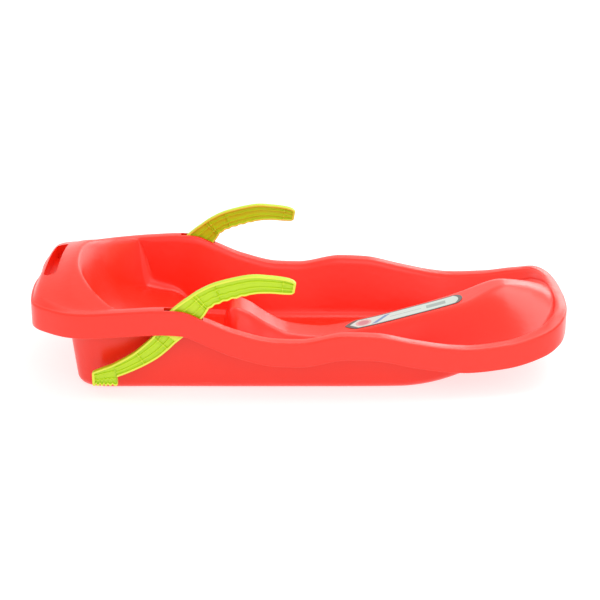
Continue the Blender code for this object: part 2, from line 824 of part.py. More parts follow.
def tow_hole_form():
    """A round hole through the nose skirt, for a tow line."""
    form = bmesh.new()
    radius = TOW_HOLE_DIAMETER / 2
    bmesh.ops.create_cone(form, cap_ends=True, segments=ROUND, radius1=radius, radius2=radius,
                          depth=2 * BAND_WIDTH)
    turn = Matrix.Rotation(math.pi / 2, 4, "Y")
    place = Matrix.Translation((HALF_LENGTH, 0.0, rim_top(HALF_LENGTH) - TOW_HOLE_DROP))
    bmesh.ops.transform(form, matrix=place @ turn, verts=form.verts)
    mesh_data = bpy.data.meshes.new("tow_hole")
    form.to_mesh(mesh_data)
    form.free()
    return mesh_data


def make_hull(red):
    hull = add_object("hull", hull_mesh(), red)
    apply_boolean(hull, guide("pivot_bosses", joined("pivot_bosses", boss_forms())), "UNION")
    apply_boolean(hull, guide("lever_slots", joined("lever_slots", slot_forms())), "DIFFERENCE")
    apply_boolean(hull, guide("pin_bores", joined("pin_bores", bore_forms())), "DIFFERENCE")
    apply_boolean(hull, guide("hand_hold_cut", grip_form()), "DIFFERENCE")
    apply_boolean(hull, guide("tow_hole_cut", tow_hole_form()), "DIFFERENCE")
    return hull


def pin_start():
    return wall_outer_y(pivot_height()) - PIN_SEAT_DEPTH


def pin_end():
    return skirt_inner_y() + PIN_SEAT_DEPTH


def lever_section(middle, normal, depth, recess):
    """The lever's cross-section: two flanges joined by a web, as 12 points."""
    half = LEVER_THICKNESS / 2
    web = half - recess
    flange = depth / 2 - min(LEVER_FLANGE, depth * FLANGE_SHARE_LIMIT)
    profile = [(-depth / 2, -half), (-flange, -half), (-flange, -web), (flange, -web), (flange, -half),
               (depth / 2, -half), (depth / 2, half), (flange, half), (flange, web), (-flange, web),
               (-flange, half), (-depth / 2, half)]
    out = []
    for across, thick in profile:
        point = middle + normal * across
        out.append(Vector((point.x, thick, point.y)))
    return out


def recess_at(share, middle):
    full = (LEVER_THICKNESS - LEVER_WEB) / 2
    ends = smoothstep(RECESS_START, RECESS_START + RECESS_START_RAMP, share)
    ends *= 1 - smoothstep(RECESS_END - RECESS_END_RAMP, RECESS_END, share)
    hub = smoothstep(HUB_HALF_LENGTH, HUB_HALF_LENGTH + HUB_RAMP, middle.length)
    return max(full * ends * hub, SHALLOWEST_RECESS)


def lever_mesh(name):
    """The lever in its own frame: pivot at the origin, thickness along Y."""
    points = []
    for middle, normal, depth, share in lever_outline():
        points.extend(lever_section(middle, normal, depth, recess_at(share, middle)))
    size = 12
    rows = len(points) // size
    faces = [tuple(range(size)), tuple(reversed(range((rows - 1) * size, rows * size)))]
    for row in range(rows - 1):
        for index in range(size):
            following = (index + 1) % size
            faces.append((row * size + following, row * size + index, (row + 1) * size + index,
                          (row + 1) * size + following))
    return mesh_from(name, points, faces)


def foot_mesh(name):
    """The toothed foot under the lower end of the lever."""
    outline = lever_outline()
    heel = outline[-1][0] - outline[-1][1] * outline[-1][2] / 4
    toe = outline[-FOOT_STATIONS][0]
    run = toe - heel
    across = Vector((run.y, -run.x)).normalized()
    if across.y > 0:
        across = -across
    pitch = run.length / TOOTH_COUNT
    along = run.normalized()
    line = [heel, heel + across * FOOT_DROP]
    for tooth in range(TOOTH_COUNT):
        base = heel + along * pitch * tooth
        line.append(base + along * pitch * TOOTH_RISE + across * (FOOT_DROP + TOOTH_DEPTH))
        line.append(base + along * pitch * TOOTH_FLAT + across * (FOOT_DROP + TOOTH_DEPTH))
        line.append(base + along * pitch * TOOTH_FALL + across * FOOT_DROP)
    line.append(toe + across * FOOT_DROP)
    line.append(toe)
    form = bmesh.new()
    half = LEVER_THICKNESS / 2
    near = [form.verts.new((p.x, -half, p.y)) for p in line]
    far = [form.verts.new((p.x, half, p.y)) for p in line]
    form.faces.new(near)
    form.faces.new(list(reversed(far)))
    for index in range(len(line)):
        following = (index + 1) % len(line)
        form.faces.new((near[following], near[index], far[index], far[following]))
    bmesh.ops.recalc_face_normals(form, faces=form.faces)
    mesh_data = bpy.data.meshes.new(name)
    form.to_mesh(mesh_data)
    form.free()
    return mesh_data


def make_lever(name, side, lime):
    lever_y = side * (lever_inner_y() + LEVER_THICKNESS / 2)
    lever = add_object(name, lever_mesh(name), lime)
    lever.location = (PIVOT_X, lever_y, pivot_height())
    foot = guide(name + "_foot_form", foot_mesh("foot"))
    foot.location = lever.location
    apply_boolean(lever, foot, "UNION")
    bore = guide(name + "_bore", cylinder_y("bore", (0, 0), PIN_DIAMETER / 2 + GAP, -LEVER_THICKNESS,
                                           LEVER_THICKNESS))
    bore.location = lever.location
    apply_boolean(lever, bore, "DIFFERENCE")
    return lever


def make_pin(name, side, steel):
    mesh_data = cylinder_y(name, (0.0, 0.0), PIN_DIAMETER / 2, side * pin_start(), side * pin_end())
    pin = add_object(name, mesh_data, steel)
    pin.location = (PIVOT_X, 0.0, pivot_height())
    return pin


def label_half_width(share):
    """Half of the label's width, at a share of its length from the pointed rear end."""
    rear = min(share / LABEL_POINT, 1.0) ** LABEL_POINT_POWER
    round_part = max((share - 1 + LABEL_ROUND) / LABEL_ROUND, 0.0)
    front = math.sqrt(max(1 - round_part ** 2, 0.0))
    return LABEL_WIDTH / 2 * max(min(rear, front), LABEL_END_WIDTH)


def make_label(paper):
    steps = LABEL_STEPS
    points = []
    for step in range(steps + 1):
        share = step / steps
        x = HALF_LENGTH - LABEL_FROM_NOSE + LABEL_LENGTH * share
        half = label_half_width(share)
        for y in (-half, half):
            for lift in (GAP, GAP + LABEL_THICKNESS):
                points.append((x, y, floor_top(x, 0.0) + lift))
    faces = [(0, 1, 3, 2), (4 * steps + 2, 4 * steps + 3, 4 * steps + 1, 4 * steps)]
    for step in range(steps):
        a = 4 * step
        b = a + 4
        faces.extend([(a, a + 2, b + 2, b), (a + 1, b + 1, b + 3, a + 3), (a, b, b + 1, a + 1),
                      (a + 2, a + 3, b + 3, b + 2)])
    return add_object("label", mesh_from("label", points, faces), paper)


def main():
    clear_scene()
    red = material("red_polyethylene", RED, 0.38)
    lime_left = material("lime_polyethylene", LIME, 0.42)
    lime_right = material("lime_polyethylene_right", LIME, 0.42)
    make_hull(red)
    make_lever("brake_lever_left", 1, lime_left)
    make_lever("brake_lever_right", -1, lime_right)
    make_pin("pivot_pin_left", 1, material("steel_left", STEEL, 0.35, 1.0))
    make_pin("pivot_pin_right", -1, material("steel_right", STEEL, 0.35, 1.0))
    make_label(material("label_film", PAPER, 0.45))


main()
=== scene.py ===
"""One-seat moulded plastic bob sled: fine surfaces, materials, studio floor, lights and camera."""
import math

import bmesh
import bpy
import numpy as np
from bpy.props import FloatProperty, IntProperty, PointerProperty, StringProperty
from mathutils import Matrix, Vector


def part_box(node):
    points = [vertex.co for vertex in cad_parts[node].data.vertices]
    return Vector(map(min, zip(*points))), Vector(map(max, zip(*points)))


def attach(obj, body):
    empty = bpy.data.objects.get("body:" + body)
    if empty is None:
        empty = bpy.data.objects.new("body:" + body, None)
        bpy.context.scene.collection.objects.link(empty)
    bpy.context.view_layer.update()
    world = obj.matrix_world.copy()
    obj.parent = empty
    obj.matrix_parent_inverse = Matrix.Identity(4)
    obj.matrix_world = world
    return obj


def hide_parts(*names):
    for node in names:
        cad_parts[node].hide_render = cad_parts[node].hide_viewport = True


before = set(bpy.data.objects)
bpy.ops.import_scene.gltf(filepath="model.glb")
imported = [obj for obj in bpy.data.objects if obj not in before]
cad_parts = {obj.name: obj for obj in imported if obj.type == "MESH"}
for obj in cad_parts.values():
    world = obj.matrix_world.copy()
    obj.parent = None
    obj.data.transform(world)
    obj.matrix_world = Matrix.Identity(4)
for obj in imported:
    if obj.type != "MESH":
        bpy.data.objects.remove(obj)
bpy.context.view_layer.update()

bl_info = {
    "name": "Bob Sled",
    "version": (1, 0, 0),
    "blender": (4, 5, 0),
    "location": "View3D > Sidebar > Bob Sled",
    "description": "Builds a moulded plastic bob sled with two hand brakes around its packed frame",
    "category": "Object",
}

HULL_LOW, HULL_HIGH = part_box("hull")
PIN_LOW, PIN_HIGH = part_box("pivot_pin_left")
LEVER_LOW, LEVER_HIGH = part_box("brake_lever_left")
LABEL_LOW, LABEL_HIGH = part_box("label")

HALF_LENGTH = 0.5 * (HULL_HIGH.x - HULL_LOW.x)
HALF_WIDTH = 0.5 * (HULL_HIGH.y - HULL_LOW.y)
PIVOT = Vector((0.5 * (PIN_LOW.x + PIN_HIGH.x), 0.0, 0.5 * (PIN_LOW.z + PIN_HIGH.z)))

# Hull mouldings in metres; powers, slopes, shares and counts are plain numbers
RIM_HEIGHT = 0.141
WALL = 0.003
SKIRT_HEIGHT = 0.038
SIDE_INSET = 0.018
REAR_OVERHANG = 0.052
NOSE_INSET = 0.0135
SIDE_DRAFT = 0.025
REAR_DRAFT = 0.015
NOSE_DRAFT = 0.006
BILGE_RADIUS = 0.014
RUNNER_DEPTH = 0.002
NOSE_LIFT_LENGTH = 0.2635
KEEL_RADIUS = 0.25
NOSE_DEPTH = 0.030
KEEL_BLEND = 0.020
DECK_RISE = 0.040
DECK_HALF_WIDTH = 0.172
DECK_DOME_POWER = 1.2
REAR_ROUNDING = 0.28
REAR_ROUNDING_POWER = 7
DECK_EDGE_BLEND = 0.006
RIDGE_SOFTNESS = 0.009
BACK_SETBACK = 0.0625
BACK_SWEEP = 0.036
BACK_SWEEP_WIDTH = 0.140
BACK_SWEEP_POWER = 2.5
BACK_SIDE_SLOPE = 2.5
BACK_SIDE_SOFTNESS = 0.010
ROW_SHIFT_LENGTH = 0.139
BACK_BLEND_START = -0.275
BACK_BLEND_END = -0.190
BAR_PLACE = (-0.2497, -0.2345)
BAR_WIDTH = 0.0032
BAR_SPACING = 0.025
BAR_RISE = 0.0013
BAR_RINGS = 13
BAR_SIDES = 12
BAR_END_POWER = 6
BAR_LEAST = 0.02
NOSE_FALL = 0.45
NOSE_CROWN_DROP = 0.003
GRIP_LENGTH = 0.150
GRIP_WIDTH = 0.020
GRIP_MARGIN = 0.0185
GRIP_X = -HALF_LENGTH + GRIP_MARGIN + GRIP_WIDTH / 2
GRIP_CUP_FLOOR = 0.136
CUP_LID_MARGIN = 0.002
CUP_POINT_SPACING = 0.004
SLOT_CORNER = 0.0006
SLOT_REAR = -0.2009
SLOT_FRONT = -0.1442
TOW_HOLE_DIAMETER = 0.008
TOW_HOLE_DROP = 0.013
LEVER_SIDE_GAP = 0.0008
GAP = 0.0003
PIN_DIAMETER = 0.006
PIN_SEAT_DEPTH = 0.0012
BOSS_DIAMETER = 0.014
WALL_OUTER_Y = PIN_LOW.y + PIN_SEAT_DEPTH
SKIRT_INNER_Y = PIN_HIGH.y - PIN_SEAT_DEPTH
RIM_BAND = SIDE_INSET + WALL
SCUFF_TOP = 0.016
SCUFF_FOOT = 0.001
SAME_POINT = 1e-6

# Label: film and print in metres, apart from slopes and curve; taper, rounding and tip are shares of its size
LABEL_FILM = 0.0005
LABEL_TAPER = 0.09
LABEL_TAPER_POWER = 0.7
LABEL_ROUNDING = 0.07
LABEL_TIP = 0.12
LABEL_BORDER = 0.003
POINT_BORDER = 0.0075
POINT_SLOPE = 0.85
NOSE_BORDER = 0.0060
NOSE_CURVE = 26.0
MARK_PLACE = 0.029
MARK_RADIUS = 0.0125
MARK_INNER_RADIUS = 0.0085
BAND_SPAN = (0.052, 0.061)
BAND_SLANT = 0.9
BAND_MARGIN = 0.006
LINE_SPAN = (0.071, 0.120)
LINE_HALF_WIDTH = 0.0009
PANEL_SPAN = (0.128, 0.158)
PANEL_HALF_WIDTH = 0.0065

# How finely the hull is drawn, and how the rings near its rim are laid
ROUND_STEPS = 64
ARC_STEPS = 8
SKIRT_STEPS = 6
UNDER_RIM_STEPS = 12
OUTER_WALL_STEPS = 9
EDGE_CROWDING = 1.25
DECK_PROBE_INSET = 0.003
DOME_RUN = 0.006
LEAST_WALL = 0.002
FILLET_SHARE = 0.45
CORNER_SHARE = 0.30
PLACE_SAMPLES = 2001
MEETING_ROUNDS = 30
PROBE_DIRECTIONS = 8
PROBE_REACHES = (0.5, 0.85, 1.0)
SKIRT_INSIDE_SHARES = (0.6, 0.3, 0.12)
INNER_WALL_SHARES = (0.15, 0.4, 0.7)
HULL_CREASE = 50
LEVER_CREASE = 38
LABEL_CREASE = 40

BACK_X = BACK_SETBACK - HALF_LENGTH
KEEL_START = HALF_LENGTH - NOSE_LIFT_LENGTH

# Half of the plan, from the rear centre round to the nose centre: along and across as shares of the half
# length and half width, then how much of the rear, side and nose insets the tub takes there
PLAN = np.array([
    (-0.995, 0.000, 1.00, 0.00, 0.00),
    (-1.000, 0.260, 1.00, 0.00, 0.00),
    (-0.992, 0.520, 1.00, 0.10, 0.00),
    (-0.972, 0.720, 0.94, 0.33, 0.00),
    (-0.916, 0.841, 0.79, 0.50, 0.00),
    (-0.802, 0.963, 0.42, 0.86, 0.00),
    (-0.632, 1.000, 0.00, 1.00, 0.00),
    (-0.243, 1.000, 0.00, 1.00, 0.00),
    (0.146, 1.000, 0.00, 1.00, 0.00),
    (0.365, 0.990, 0.00, 1.00, 0.00),
    (0.559, 0.953, 0.00, 1.00, 0.00),
    (0.754, 0.896, 0.00, 1.00, 0.30),
    (0.875, 0.818, 0.00, 1.00, 0.60),
    (0.946, 0.688, 0.00, 0.90, 0.85),
    (0.983, 0.469, 0.00, 0.55, 1.00),
    (0.997, 0.234, 0.00, 0.28, 1.00),
    (1.000, 0.000, 0.00, 0.00, 1.00),
])
REAR_CORNER = 3
NOSE_CORNER = 13

# Rim seen from the side: place as a share of the half length, and metres above RIM_HEIGHT
RIM_LINE = [
    (-1.000, -0.0060), (-0.855, -0.0080), (-0.608, -0.0020), (-0.500, 0.0), (-0.430, -0.0015),
    (-0.338, -0.0170), (-0.241, -0.0340), (-0.090, -0.0490), (-0.005, -0.0500), (0.165, -0.0390),
    (0.265, -0.0405), (0.403, -0.0520), (0.542, -0.0620), (0.608, -0.0640), (0.748, -0.0600),
    (0.882, -0.0480), (1.000, -0.0335),
]
# Deck behind the seat: distance from the rear edge in metres, and share of the deck's rise
DECK_PROFILE = [
    (0.000, 0.00), (0.003, 0.03), (0.0165, 0.60), (0.024, 0.70), (0.038, 0.80), (0.066, 1.00),
]
# Seat surface at the middle: distance in metres ahead of the back's top edge, and height
BACK_PROFILE = [
    (-0.060, 0.290), (-0.030, 0.236), (0.000, 0.181), (0.020, 0.140), (0.035, 0.106), (0.051, 0.083),
    (0.070, 0.069), (0.089, 0.060), (0.110, 0.054), (0.137, 0.049), (0.150, 0.042), (0.166, 0.024),
    (0.182, 0.013), (0.215, 0.010), (0.250, 0.008), (0.300, 0.005),
]
# Spine: place as a share of the half length, then its height and the half widths of its crown and foot
SPINE = [
    (-0.345, 0.004, 0.004, 0.026), (-0.318, 0.020, 0.010, 0.036), (-0.292, 0.062, 0.018, 0.052),
    (-0.268, 0.083, 0.024, 0.066), (-0.245, 0.086, 0.025, 0.072), (-0.205, 0.080, 0.024, 0.070),
    (-0.122, 0.058, 0.022, 0.062),
    (-0.041, 0.043, 0.022, 0.056), (0.080, 0.038, 0.022, 0.054), (0.202, 0.046, 0.022, 0.056),
    (0.445, 0.072, 0.022, 0.066), (0.615, 0.093, 0.024, 0.092), (0.780, 0.1190, 0.008, 0.140),
    (0.865, 0.1158, 0.004, 0.148), (0.920, 0.1105, 0.004, 0.142), (0.985, 0.1020, 0.004, 0.132),
]

# Brake lever's middle line at rest, from the pivot: along, up and the depth of the lever there
LEVER_PATH = np.array([
    (0.1765, 0.0595, 0.0140), (0.1720, 0.0603, 0.0205), (0.1600, 0.0625, 0.0242), (0.1363, 0.0648, 0.0258),
    (0.1100, 0.0640, 0.0285), (0.0683, 0.0536, 0.0300), (0.0440, 0.0420, 0.0310), (0.0290, 0.0280, 0.0375),
    (0.0140, 0.0140, 0.0410), (0.0000, 0.0000, 0.0410), (-0.0110, -0.0130, 0.0355),
    (-0.0198, -0.0245, 0.0308), (-0.0356, -0.0387, 0.0288), (-0.0571, -0.0534, 0.0246),
    (-0.0848, -0.0674, 0.0213), (-0.1096, -0.0759, 0.0190), (-0.1210, -0.0790, 0.0160),
    (-0.1235, -0.0797, 0.0130),
])
FOOT_LENGTH = 0.0365
FOOT_TURN_LENGTH = 0.050
FOOT_BOTTOM = -0.0905
FOOT_STEP = 0.0012
FOOT_UPRIGHT_SHARE = 0.6
TOOTH_COUNT = 6
TOOTH_DEPTH = 0.0030
TOOTH_RISE = (0.0, 0.15)
TOOTH_END = (0.65, 0.85)
LEVER_STATIONS = 460
LEVER_EDGE_RADIUS = 0.0013
LEVER_FLANGE = 0.0031
LEVER_WEB = 0.0036
LEAST_RECESS = 0.0002
SOLID_END = 0.0030
OPEN_FROM_TIP = 0.0045
OPEN_FROM_HEEL = 0.0050
LINE_RIB_HEIGHT = 0.62
HUB_RADII = (0.016, 0.019)
CROSS_RIB_HEIGHT = 0.75
CROSS_RIB_HALF_WIDTHS = (0.0007, 0.0012)
CROSS_RIBS = (0.0515, 0.0560, 0.0830, 0.1800, -0.0330, -0.0720)
RIPPLE_START = 0.050
RIPPLE_END = 0.135
RIPPLE_PITCH = 0.0145
RIPPLE_DEPTH = 0.0007
RIPPLE_FADE = 0.01

# Camera, fitted to the photograph's near and far rim lines
CAMERA_TARGET = Vector((-0.017, 0.0, 0.089))
CAMERA_DISTANCE = 2.37
CAMERA_ELEVATION = math.radians(20)
PHOTO_SIZE = 600
FOCAL_PIXELS = 1497
CENTRE_PIXEL_X = 290
SENSOR = 36.0

FLOOR_REACH = 6.0
FLOOR_DROP = 0.0006
ROOM_TINT = (1.0, 0.985, 0.94, 1.0)
# Name, place, aim and size in metres, and watts
SOFTBOXES = (
    ("top_softbox", (0.9, 0.7, 2.4), (0.0, 0.0, 0.0), (2.4, 1.8), 36),
    ("front_softbox", (0.9, -2.6, 1.9), (0.0, 0.0, 0.1), (2.2, 1.2), 12),
    ("rim_light", (1.5, 2.4, 1.0), (0.0, 0.0, 0.12), (1.8, 0.8), 14),
)


def linear(hex_colour):
    """An sRGB hex colour as linear RGBA."""
    channels = [int(hex_colour[i:i + 2], 16) / 255 for i in (1, 3, 5)]
    out = [c / 12.92 if c <= 0.04045 else ((c + 0.055) / 1.055) ** 2.4 for c in channels]
    return (*out, 1.0)


def per_mm(size):
    """Texture scale for a feature of a size in millimetres, in object space metres."""
    return 1000.0 / size


def add_node(tree, kind, settings=None, links=None):
    """Adds a shader node of a kind, sets its properties and sockets, and links its inputs.

    A link that names a node takes its first output.
    """
    node = tree.nodes.new("ShaderNode" + kind)
    for key, value in (settings or {}).items():
        if isinstance(key, str) and hasattr(node, key):
            setattr(node, key, value)
        else:
            node.inputs[key].default_value = value
    for key, source in (links or {}).items():
        socket = source.outputs[0] if isinstance(source, bpy.types.Node) else source
        tree.links.new(socket, node.inputs[key])
    return node


def new_material(name):
    """An empty node material, its tree and the object's own coordinates in metres."""
    made = bpy.data.materials.new(name)
    made.use_nodes = True
    tree = made.node_tree
    tree.nodes.clear()
    return made, tree, add_node(tree, "TexCoord").outputs["Object"]


def red_polyethylene(colours):
    """High-density polyethylene, injection moulded in a fine-blasted tool.

    A satin skin with a soft, slightly orange-peeled gloss. The pigment is deep, so steep walls that face each
    other read almost pure red, and flat faces pick up a pale sheen from the studio. Runners are scuffed.
    """
    made, tree, at = new_material("red_polyethylene_moulded")
    cloud = add_node(tree, "TexNoise", {"Scale": per_mm(160), "Detail": 2.0}, {"Vector": at})
    tint = add_node(tree, "Mix",
                    {"data_type": "RGBA", 6: linear(colours.hull), 7: linear(colours.hull_deep)},
                    {0: cloud})
    split = add_node(tree, "SeparateXYZ", links={0: at})
    low = add_node(tree, "MapRange", {"From Min": SCUFF_TOP, "From Max": SCUFF_FOOT}, {0: split.outputs["Z"]})
    stretch = add_node(tree, "Mapping", {"Scale": (0.02, 1.0, 1.0)}, {0: at})
    scratch = add_node(tree, "TexNoise", {"Scale": per_mm(1.6), "Detail": 4.0, "Roughness": 0.7},
                       {"Vector": stretch})
    lines = add_node(tree, "MapRange", {"From Min": 0.60, "From Max": 0.72}, {0: scratch})
    scuff = add_node(tree, "Math", {"operation": "MULTIPLY"}, {0: lines, 1: low})
    scuffed = add_node(tree, "Mix", {"data_type": "RGBA", 7: linear(colours.hull_scuff)},
                       {0: scuff, 6: tint.outputs[2]})
    sheen_break = add_node(tree, "TexNoise", {"Scale": per_mm(28), "Detail": 3.0}, {"Vector": at})
    gloss = add_node(tree, "MapRange", {"To Min": 0.26, "To Max": 0.36}, {0: sheen_break})
    gloss_worn = add_node(tree, "Math", {"operation": "MULTIPLY_ADD", 1: 0.3}, {0: scuff, 2: gloss})
    # The tool's blasting is about 0.2 mm; 1.1 mm is the finest that shows at this size.
    grain = add_node(tree, "TexNoise", {"Scale": per_mm(1.1), "Detail": 2.0}, {"Vector": at})
    peel = add_node(tree, "TexNoise", {"Scale": per_mm(9), "Detail": 2.0}, {"Vector": at})
    relief = add_node(tree, "Math", {"operation": "MULTIPLY_ADD", 1: 4.0}, {0: peel, 2: grain})
    bump = add_node(tree, "Bump", {"Strength": 0.10, "Distance": 0.0006}, {"Height": relief})
    shader = add_node(tree, "BsdfPrincipled", {"IOR": 1.54},
                      {"Base Color": scuffed.outputs[2], "Roughness": gloss_worn, "Normal": bump})
    add_node(tree, "OutputMaterial", links={"Surface": shader})
    return made


def lime_polypropylene(colours, name):
    """Polypropylene, injection moulded: a bright, slightly waxy satin, with a painted highlight that makes
    the raised edges paler.
    """
    made, tree, at = new_material(name)
    cloud = add_node(tree, "TexNoise", {"Scale": per_mm(45), "Detail": 2.0}, {"Vector": at})
    tint = add_node(tree, "Mix",
                    {"data_type": "RGBA", 6: linear(colours.lever), 7: linear(colours.lever_deep)},
                    {0: cloud})
    split = add_node(tree, "SeparateXYZ", links={0: at})
    across = add_node(tree, "Math", {"operation": "ABSOLUTE"}, {0: split.outputs["Y"]})
    half = 0.5 * (LEVER_HIGH.y - LEVER_LOW.y)
    middle = 0.5 * (LEVER_HIGH.y + LEVER_LOW.y)
    off = add_node(tree, "Math", {"operation": "SUBTRACT", 1: middle}, {0: across})
    out = add_node(tree, "Math", {"operation": "ABSOLUTE"}, {0: off})
    # Painted highlight: the raised flanges and edges of both faces are mixed towards a paler colour
    edge = add_node(tree, "MapRange", {"From Min": half * 0.84, "From Max": half * 0.97}, {0: out})
    edge_highlighted = add_node(tree, "Mix", {"data_type": "RGBA", 7: linear(colours.lever_edge_highlight)},
                     {0: edge, 6: tint.outputs[2]})
    # The tool's texture is about 0.2 mm; 1 mm is the finest that shows at this size.
    grain = add_node(tree, "TexNoise", {"Scale": per_mm(1.0), "Detail": 2.0}, {"Vector": at})
    bump = add_node(tree, "Bump", {"Strength": 0.12, "Distance": 0.0004}, {"Height": grain})
    sheen_break = add_node(tree, "TexNoise", {"Scale": per_mm(14), "Detail": 2.0}, {"Vector": at})
    gloss = add_node(tree, "MapRange", {"To Min": 0.30, "To Max": 0.42}, {0: sheen_break})
    shader = add_node(tree, "BsdfPrincipled", {"IOR": 1.49},
                      {"Base Color": edge_highlighted.outputs[2], "Roughness": gloss, "Normal": bump})
    add_node(tree, "OutputMaterial", links={"Surface": shader})
    return made


def drawn_steel(colours, name):
    """Mild steel rod, cold drawn: fine lines run round the axis and break up the gloss."""
    made, tree, at = new_material(name)
    stretch = add_node(tree, "Mapping", {"Scale": (0.05, 1.0, 0.05)}, {0: at})
    # Drawing leaves lines finer than 0.1 mm; 0.35 mm is as fine as shows on a pin.
    lines = add_node(tree, "TexNoise", {"Scale": per_mm(0.35), "Detail": 3.0}, {"Vector": stretch})
    gloss = add_node(tree, "MapRange", {"To Min": 0.24, "To Max": 0.46}, {0: lines})
    bump = add_node(tree, "Bump", {"Strength": 0.2, "Distance": 0.0001}, {"Height": lines})
    shader = add_node(tree, "BsdfPrincipled", {"Base Color": linear(colours.pin), "Metallic": 1.0},
                      {"Roughness": gloss, "Normal": bump})
    add_node(tree, "OutputMaterial", links={"Surface": shader})
    return made


def printed_film(colours):
    """Polyester film, screen printed and laminated: smooth, with a faint ripple along the spine."""
    made, tree, at = new_material("printed_film_laminated")
    split = add_node(tree, "SeparateXYZ", links={0: at})
    along = split.outputs["X"]
    across = split.outputs["Y"]
    side = add_node(tree, "Math", {"operation": "ABSOLUTE"}, {0: across})
    half = 0.5 * (LABEL_HIGH.y - LABEL_LOW.y)
    # A dark border, pointed at the rear and rounded at the front
    start = LABEL_LOW.x
    end = LABEL_HIGH.x
    border = add_node(tree, "Math", {"operation": "GREATER_THAN", 1: half - LABEL_BORDER}, {0: side})
    rear = add_node(tree, "Math", {"operation": "MULTIPLY_ADD", 1: POINT_SLOPE, 2: start + POINT_BORDER},
                    {0: side})
    at_rear = add_node(tree, "Math", {"operation": "LESS_THAN"}, {0: along, 1: rear})
    squared = add_node(tree, "Math", {"operation": "POWER", 1: 2.0}, {0: side})
    front = add_node(tree, "Math", {"operation": "MULTIPLY_ADD", 1: -NOSE_CURVE, 2: end - NOSE_BORDER},
                     {0: squared})
    at_front = add_node(tree, "Math", {"operation": "GREATER_THAN"}, {0: along, 1: front})
    ends = add_node(tree, "Math", {"operation": "MAXIMUM"}, {0: at_rear, 1: at_front})
    edge = add_node(tree, "Math", {"operation": "MAXIMUM"}, {0: ends, 1: border})
    tone = add_node(tree, "MapRange", {"From Min": start, "From Max": end}, {0: along})
    field = add_node(tree, "Mix",
                     {"data_type": "RGBA", 6: linear(colours.label_field),
                      7: linear(colours.label_field_far)},
                     {0: tone})
    layers = field.outputs[2]
    shapes = [
        (disc(tree, along, across, start + MARK_PLACE, MARK_RADIUS), colours.label_ring),
        (disc(tree, along, across, start + MARK_PLACE, MARK_INNER_RADIUS), colours.label_disc),
        (bar(tree, along, across, start, BAND_SPAN, BAND_SLANT, half - BAND_MARGIN), colours.label_band),
        (bar(tree, along, across, start, PANEL_SPAN, 0.0, PANEL_HALF_WIDTH), colours.label_panel),
        (bar(tree, along, across, start, LINE_SPAN, 0.0, LINE_HALF_WIDTH), colours.label_panel),
    ]
    for mask, colour in shapes:
        mixed = add_node(tree, "Mix", {"data_type": "RGBA", 7: linear(colour)}, {0: mask, 6: layers})
        layers = mixed.outputs[2]
    printed = add_node(tree, "Mix", {"data_type": "RGBA", 7: linear(colours.label_border)},
                       {0: edge, 6: layers})
    ripple = add_node(tree, "TexNoise", {"Scale": per_mm(22), "Detail": 1.0}, {"Vector": at})
    bump = add_node(tree, "Bump", {"Strength": 0.08, "Distance": 0.0005}, {"Height": ripple})
    gloss = add_node(tree, "MapRange", {"To Min": 0.16, "To Max": 0.26}, {0: ripple})
    shader = add_node(tree, "BsdfPrincipled", {"IOR": 1.57},
                      {"Base Color": printed.outputs[2], "Roughness": gloss, "Normal": bump})
    add_node(tree, "OutputMaterial", links={"Surface": shader})
    return made


def disc(tree, along, across, centre, radius):
    """A mask that is 1 inside a circle on the label's middle line."""
    x = add_node(tree, "Math", {"operation": "SUBTRACT", 1: centre}, {0: along})
    xx = add_node(tree, "Math", {"operation": "POWER", 1: 2.0}, {0: x})
    total = add_node(tree, "Math", {"operation": "MULTIPLY_ADD"}, {0: across, 1: across, 2: xx})
    inside = add_node(tree, "Math", {"operation": "LESS_THAN", 1: radius ** 2}, {0: total})
    return inside


def bar(tree, along, across, start, span, slant, half):
    """A mask that is 1 inside a bar across the label, leaning forward by a slant."""
    low = start + span[0]
    high = start + span[1]
    leaned = add_node(tree, "Math", {"operation": "MULTIPLY_ADD", 1: -slant}, {0: across, 2: along})
    above = add_node(tree, "Math", {"operation": "GREATER_THAN", 1: low}, {0: leaned})
    below = add_node(tree, "Math", {"operation": "LESS_THAN", 1: high}, {0: leaned})
    side = add_node(tree, "Math", {"operation": "ABSOLUTE"}, {0: across})
    within = add_node(tree, "Math", {"operation": "LESS_THAN", 1: half}, {0: side})
    first = add_node(tree, "Math", {"operation": "MULTIPLY"}, {0: above, 1: below})
    both = add_node(tree, "Math", {"operation": "MULTIPLY"}, {0: first, 1: within})
    return both


def light_table(sizes, colours):
    """Opal acrylic sheet on a light table: matt, and lit evenly from below.

    Its base is greyer than real acrylic, so that glow and room light together don't wash the shadow out.
    """
    made, tree, at = new_material("opal_acrylic_matt")
    # Opal acrylic has no grain; 40 mm clouds stand for the sheet's slight unevenness.
    cloud = add_node(tree, "TexNoise", {"Scale": per_mm(40), "Detail": 1.0}, {"Vector": at})
    tone = add_node(tree, "Mix",
                    {"data_type": "RGBA", 6: linear(colours.floor), 7: linear(colours.floor_deep)},
                    {0: cloud})
    shader = add_node(tree, "BsdfPrincipled",
                      {"Roughness": 0.8, "Specular IOR Level": 0.1, "Emission Color": (1.0, 1.0, 1.0, 1.0),
                       "Emission Strength": sizes.floor_glow},
                      {"Base Color": tone.outputs[2]})
    add_node(tree, "OutputMaterial", links={"Surface": shader})
    return made


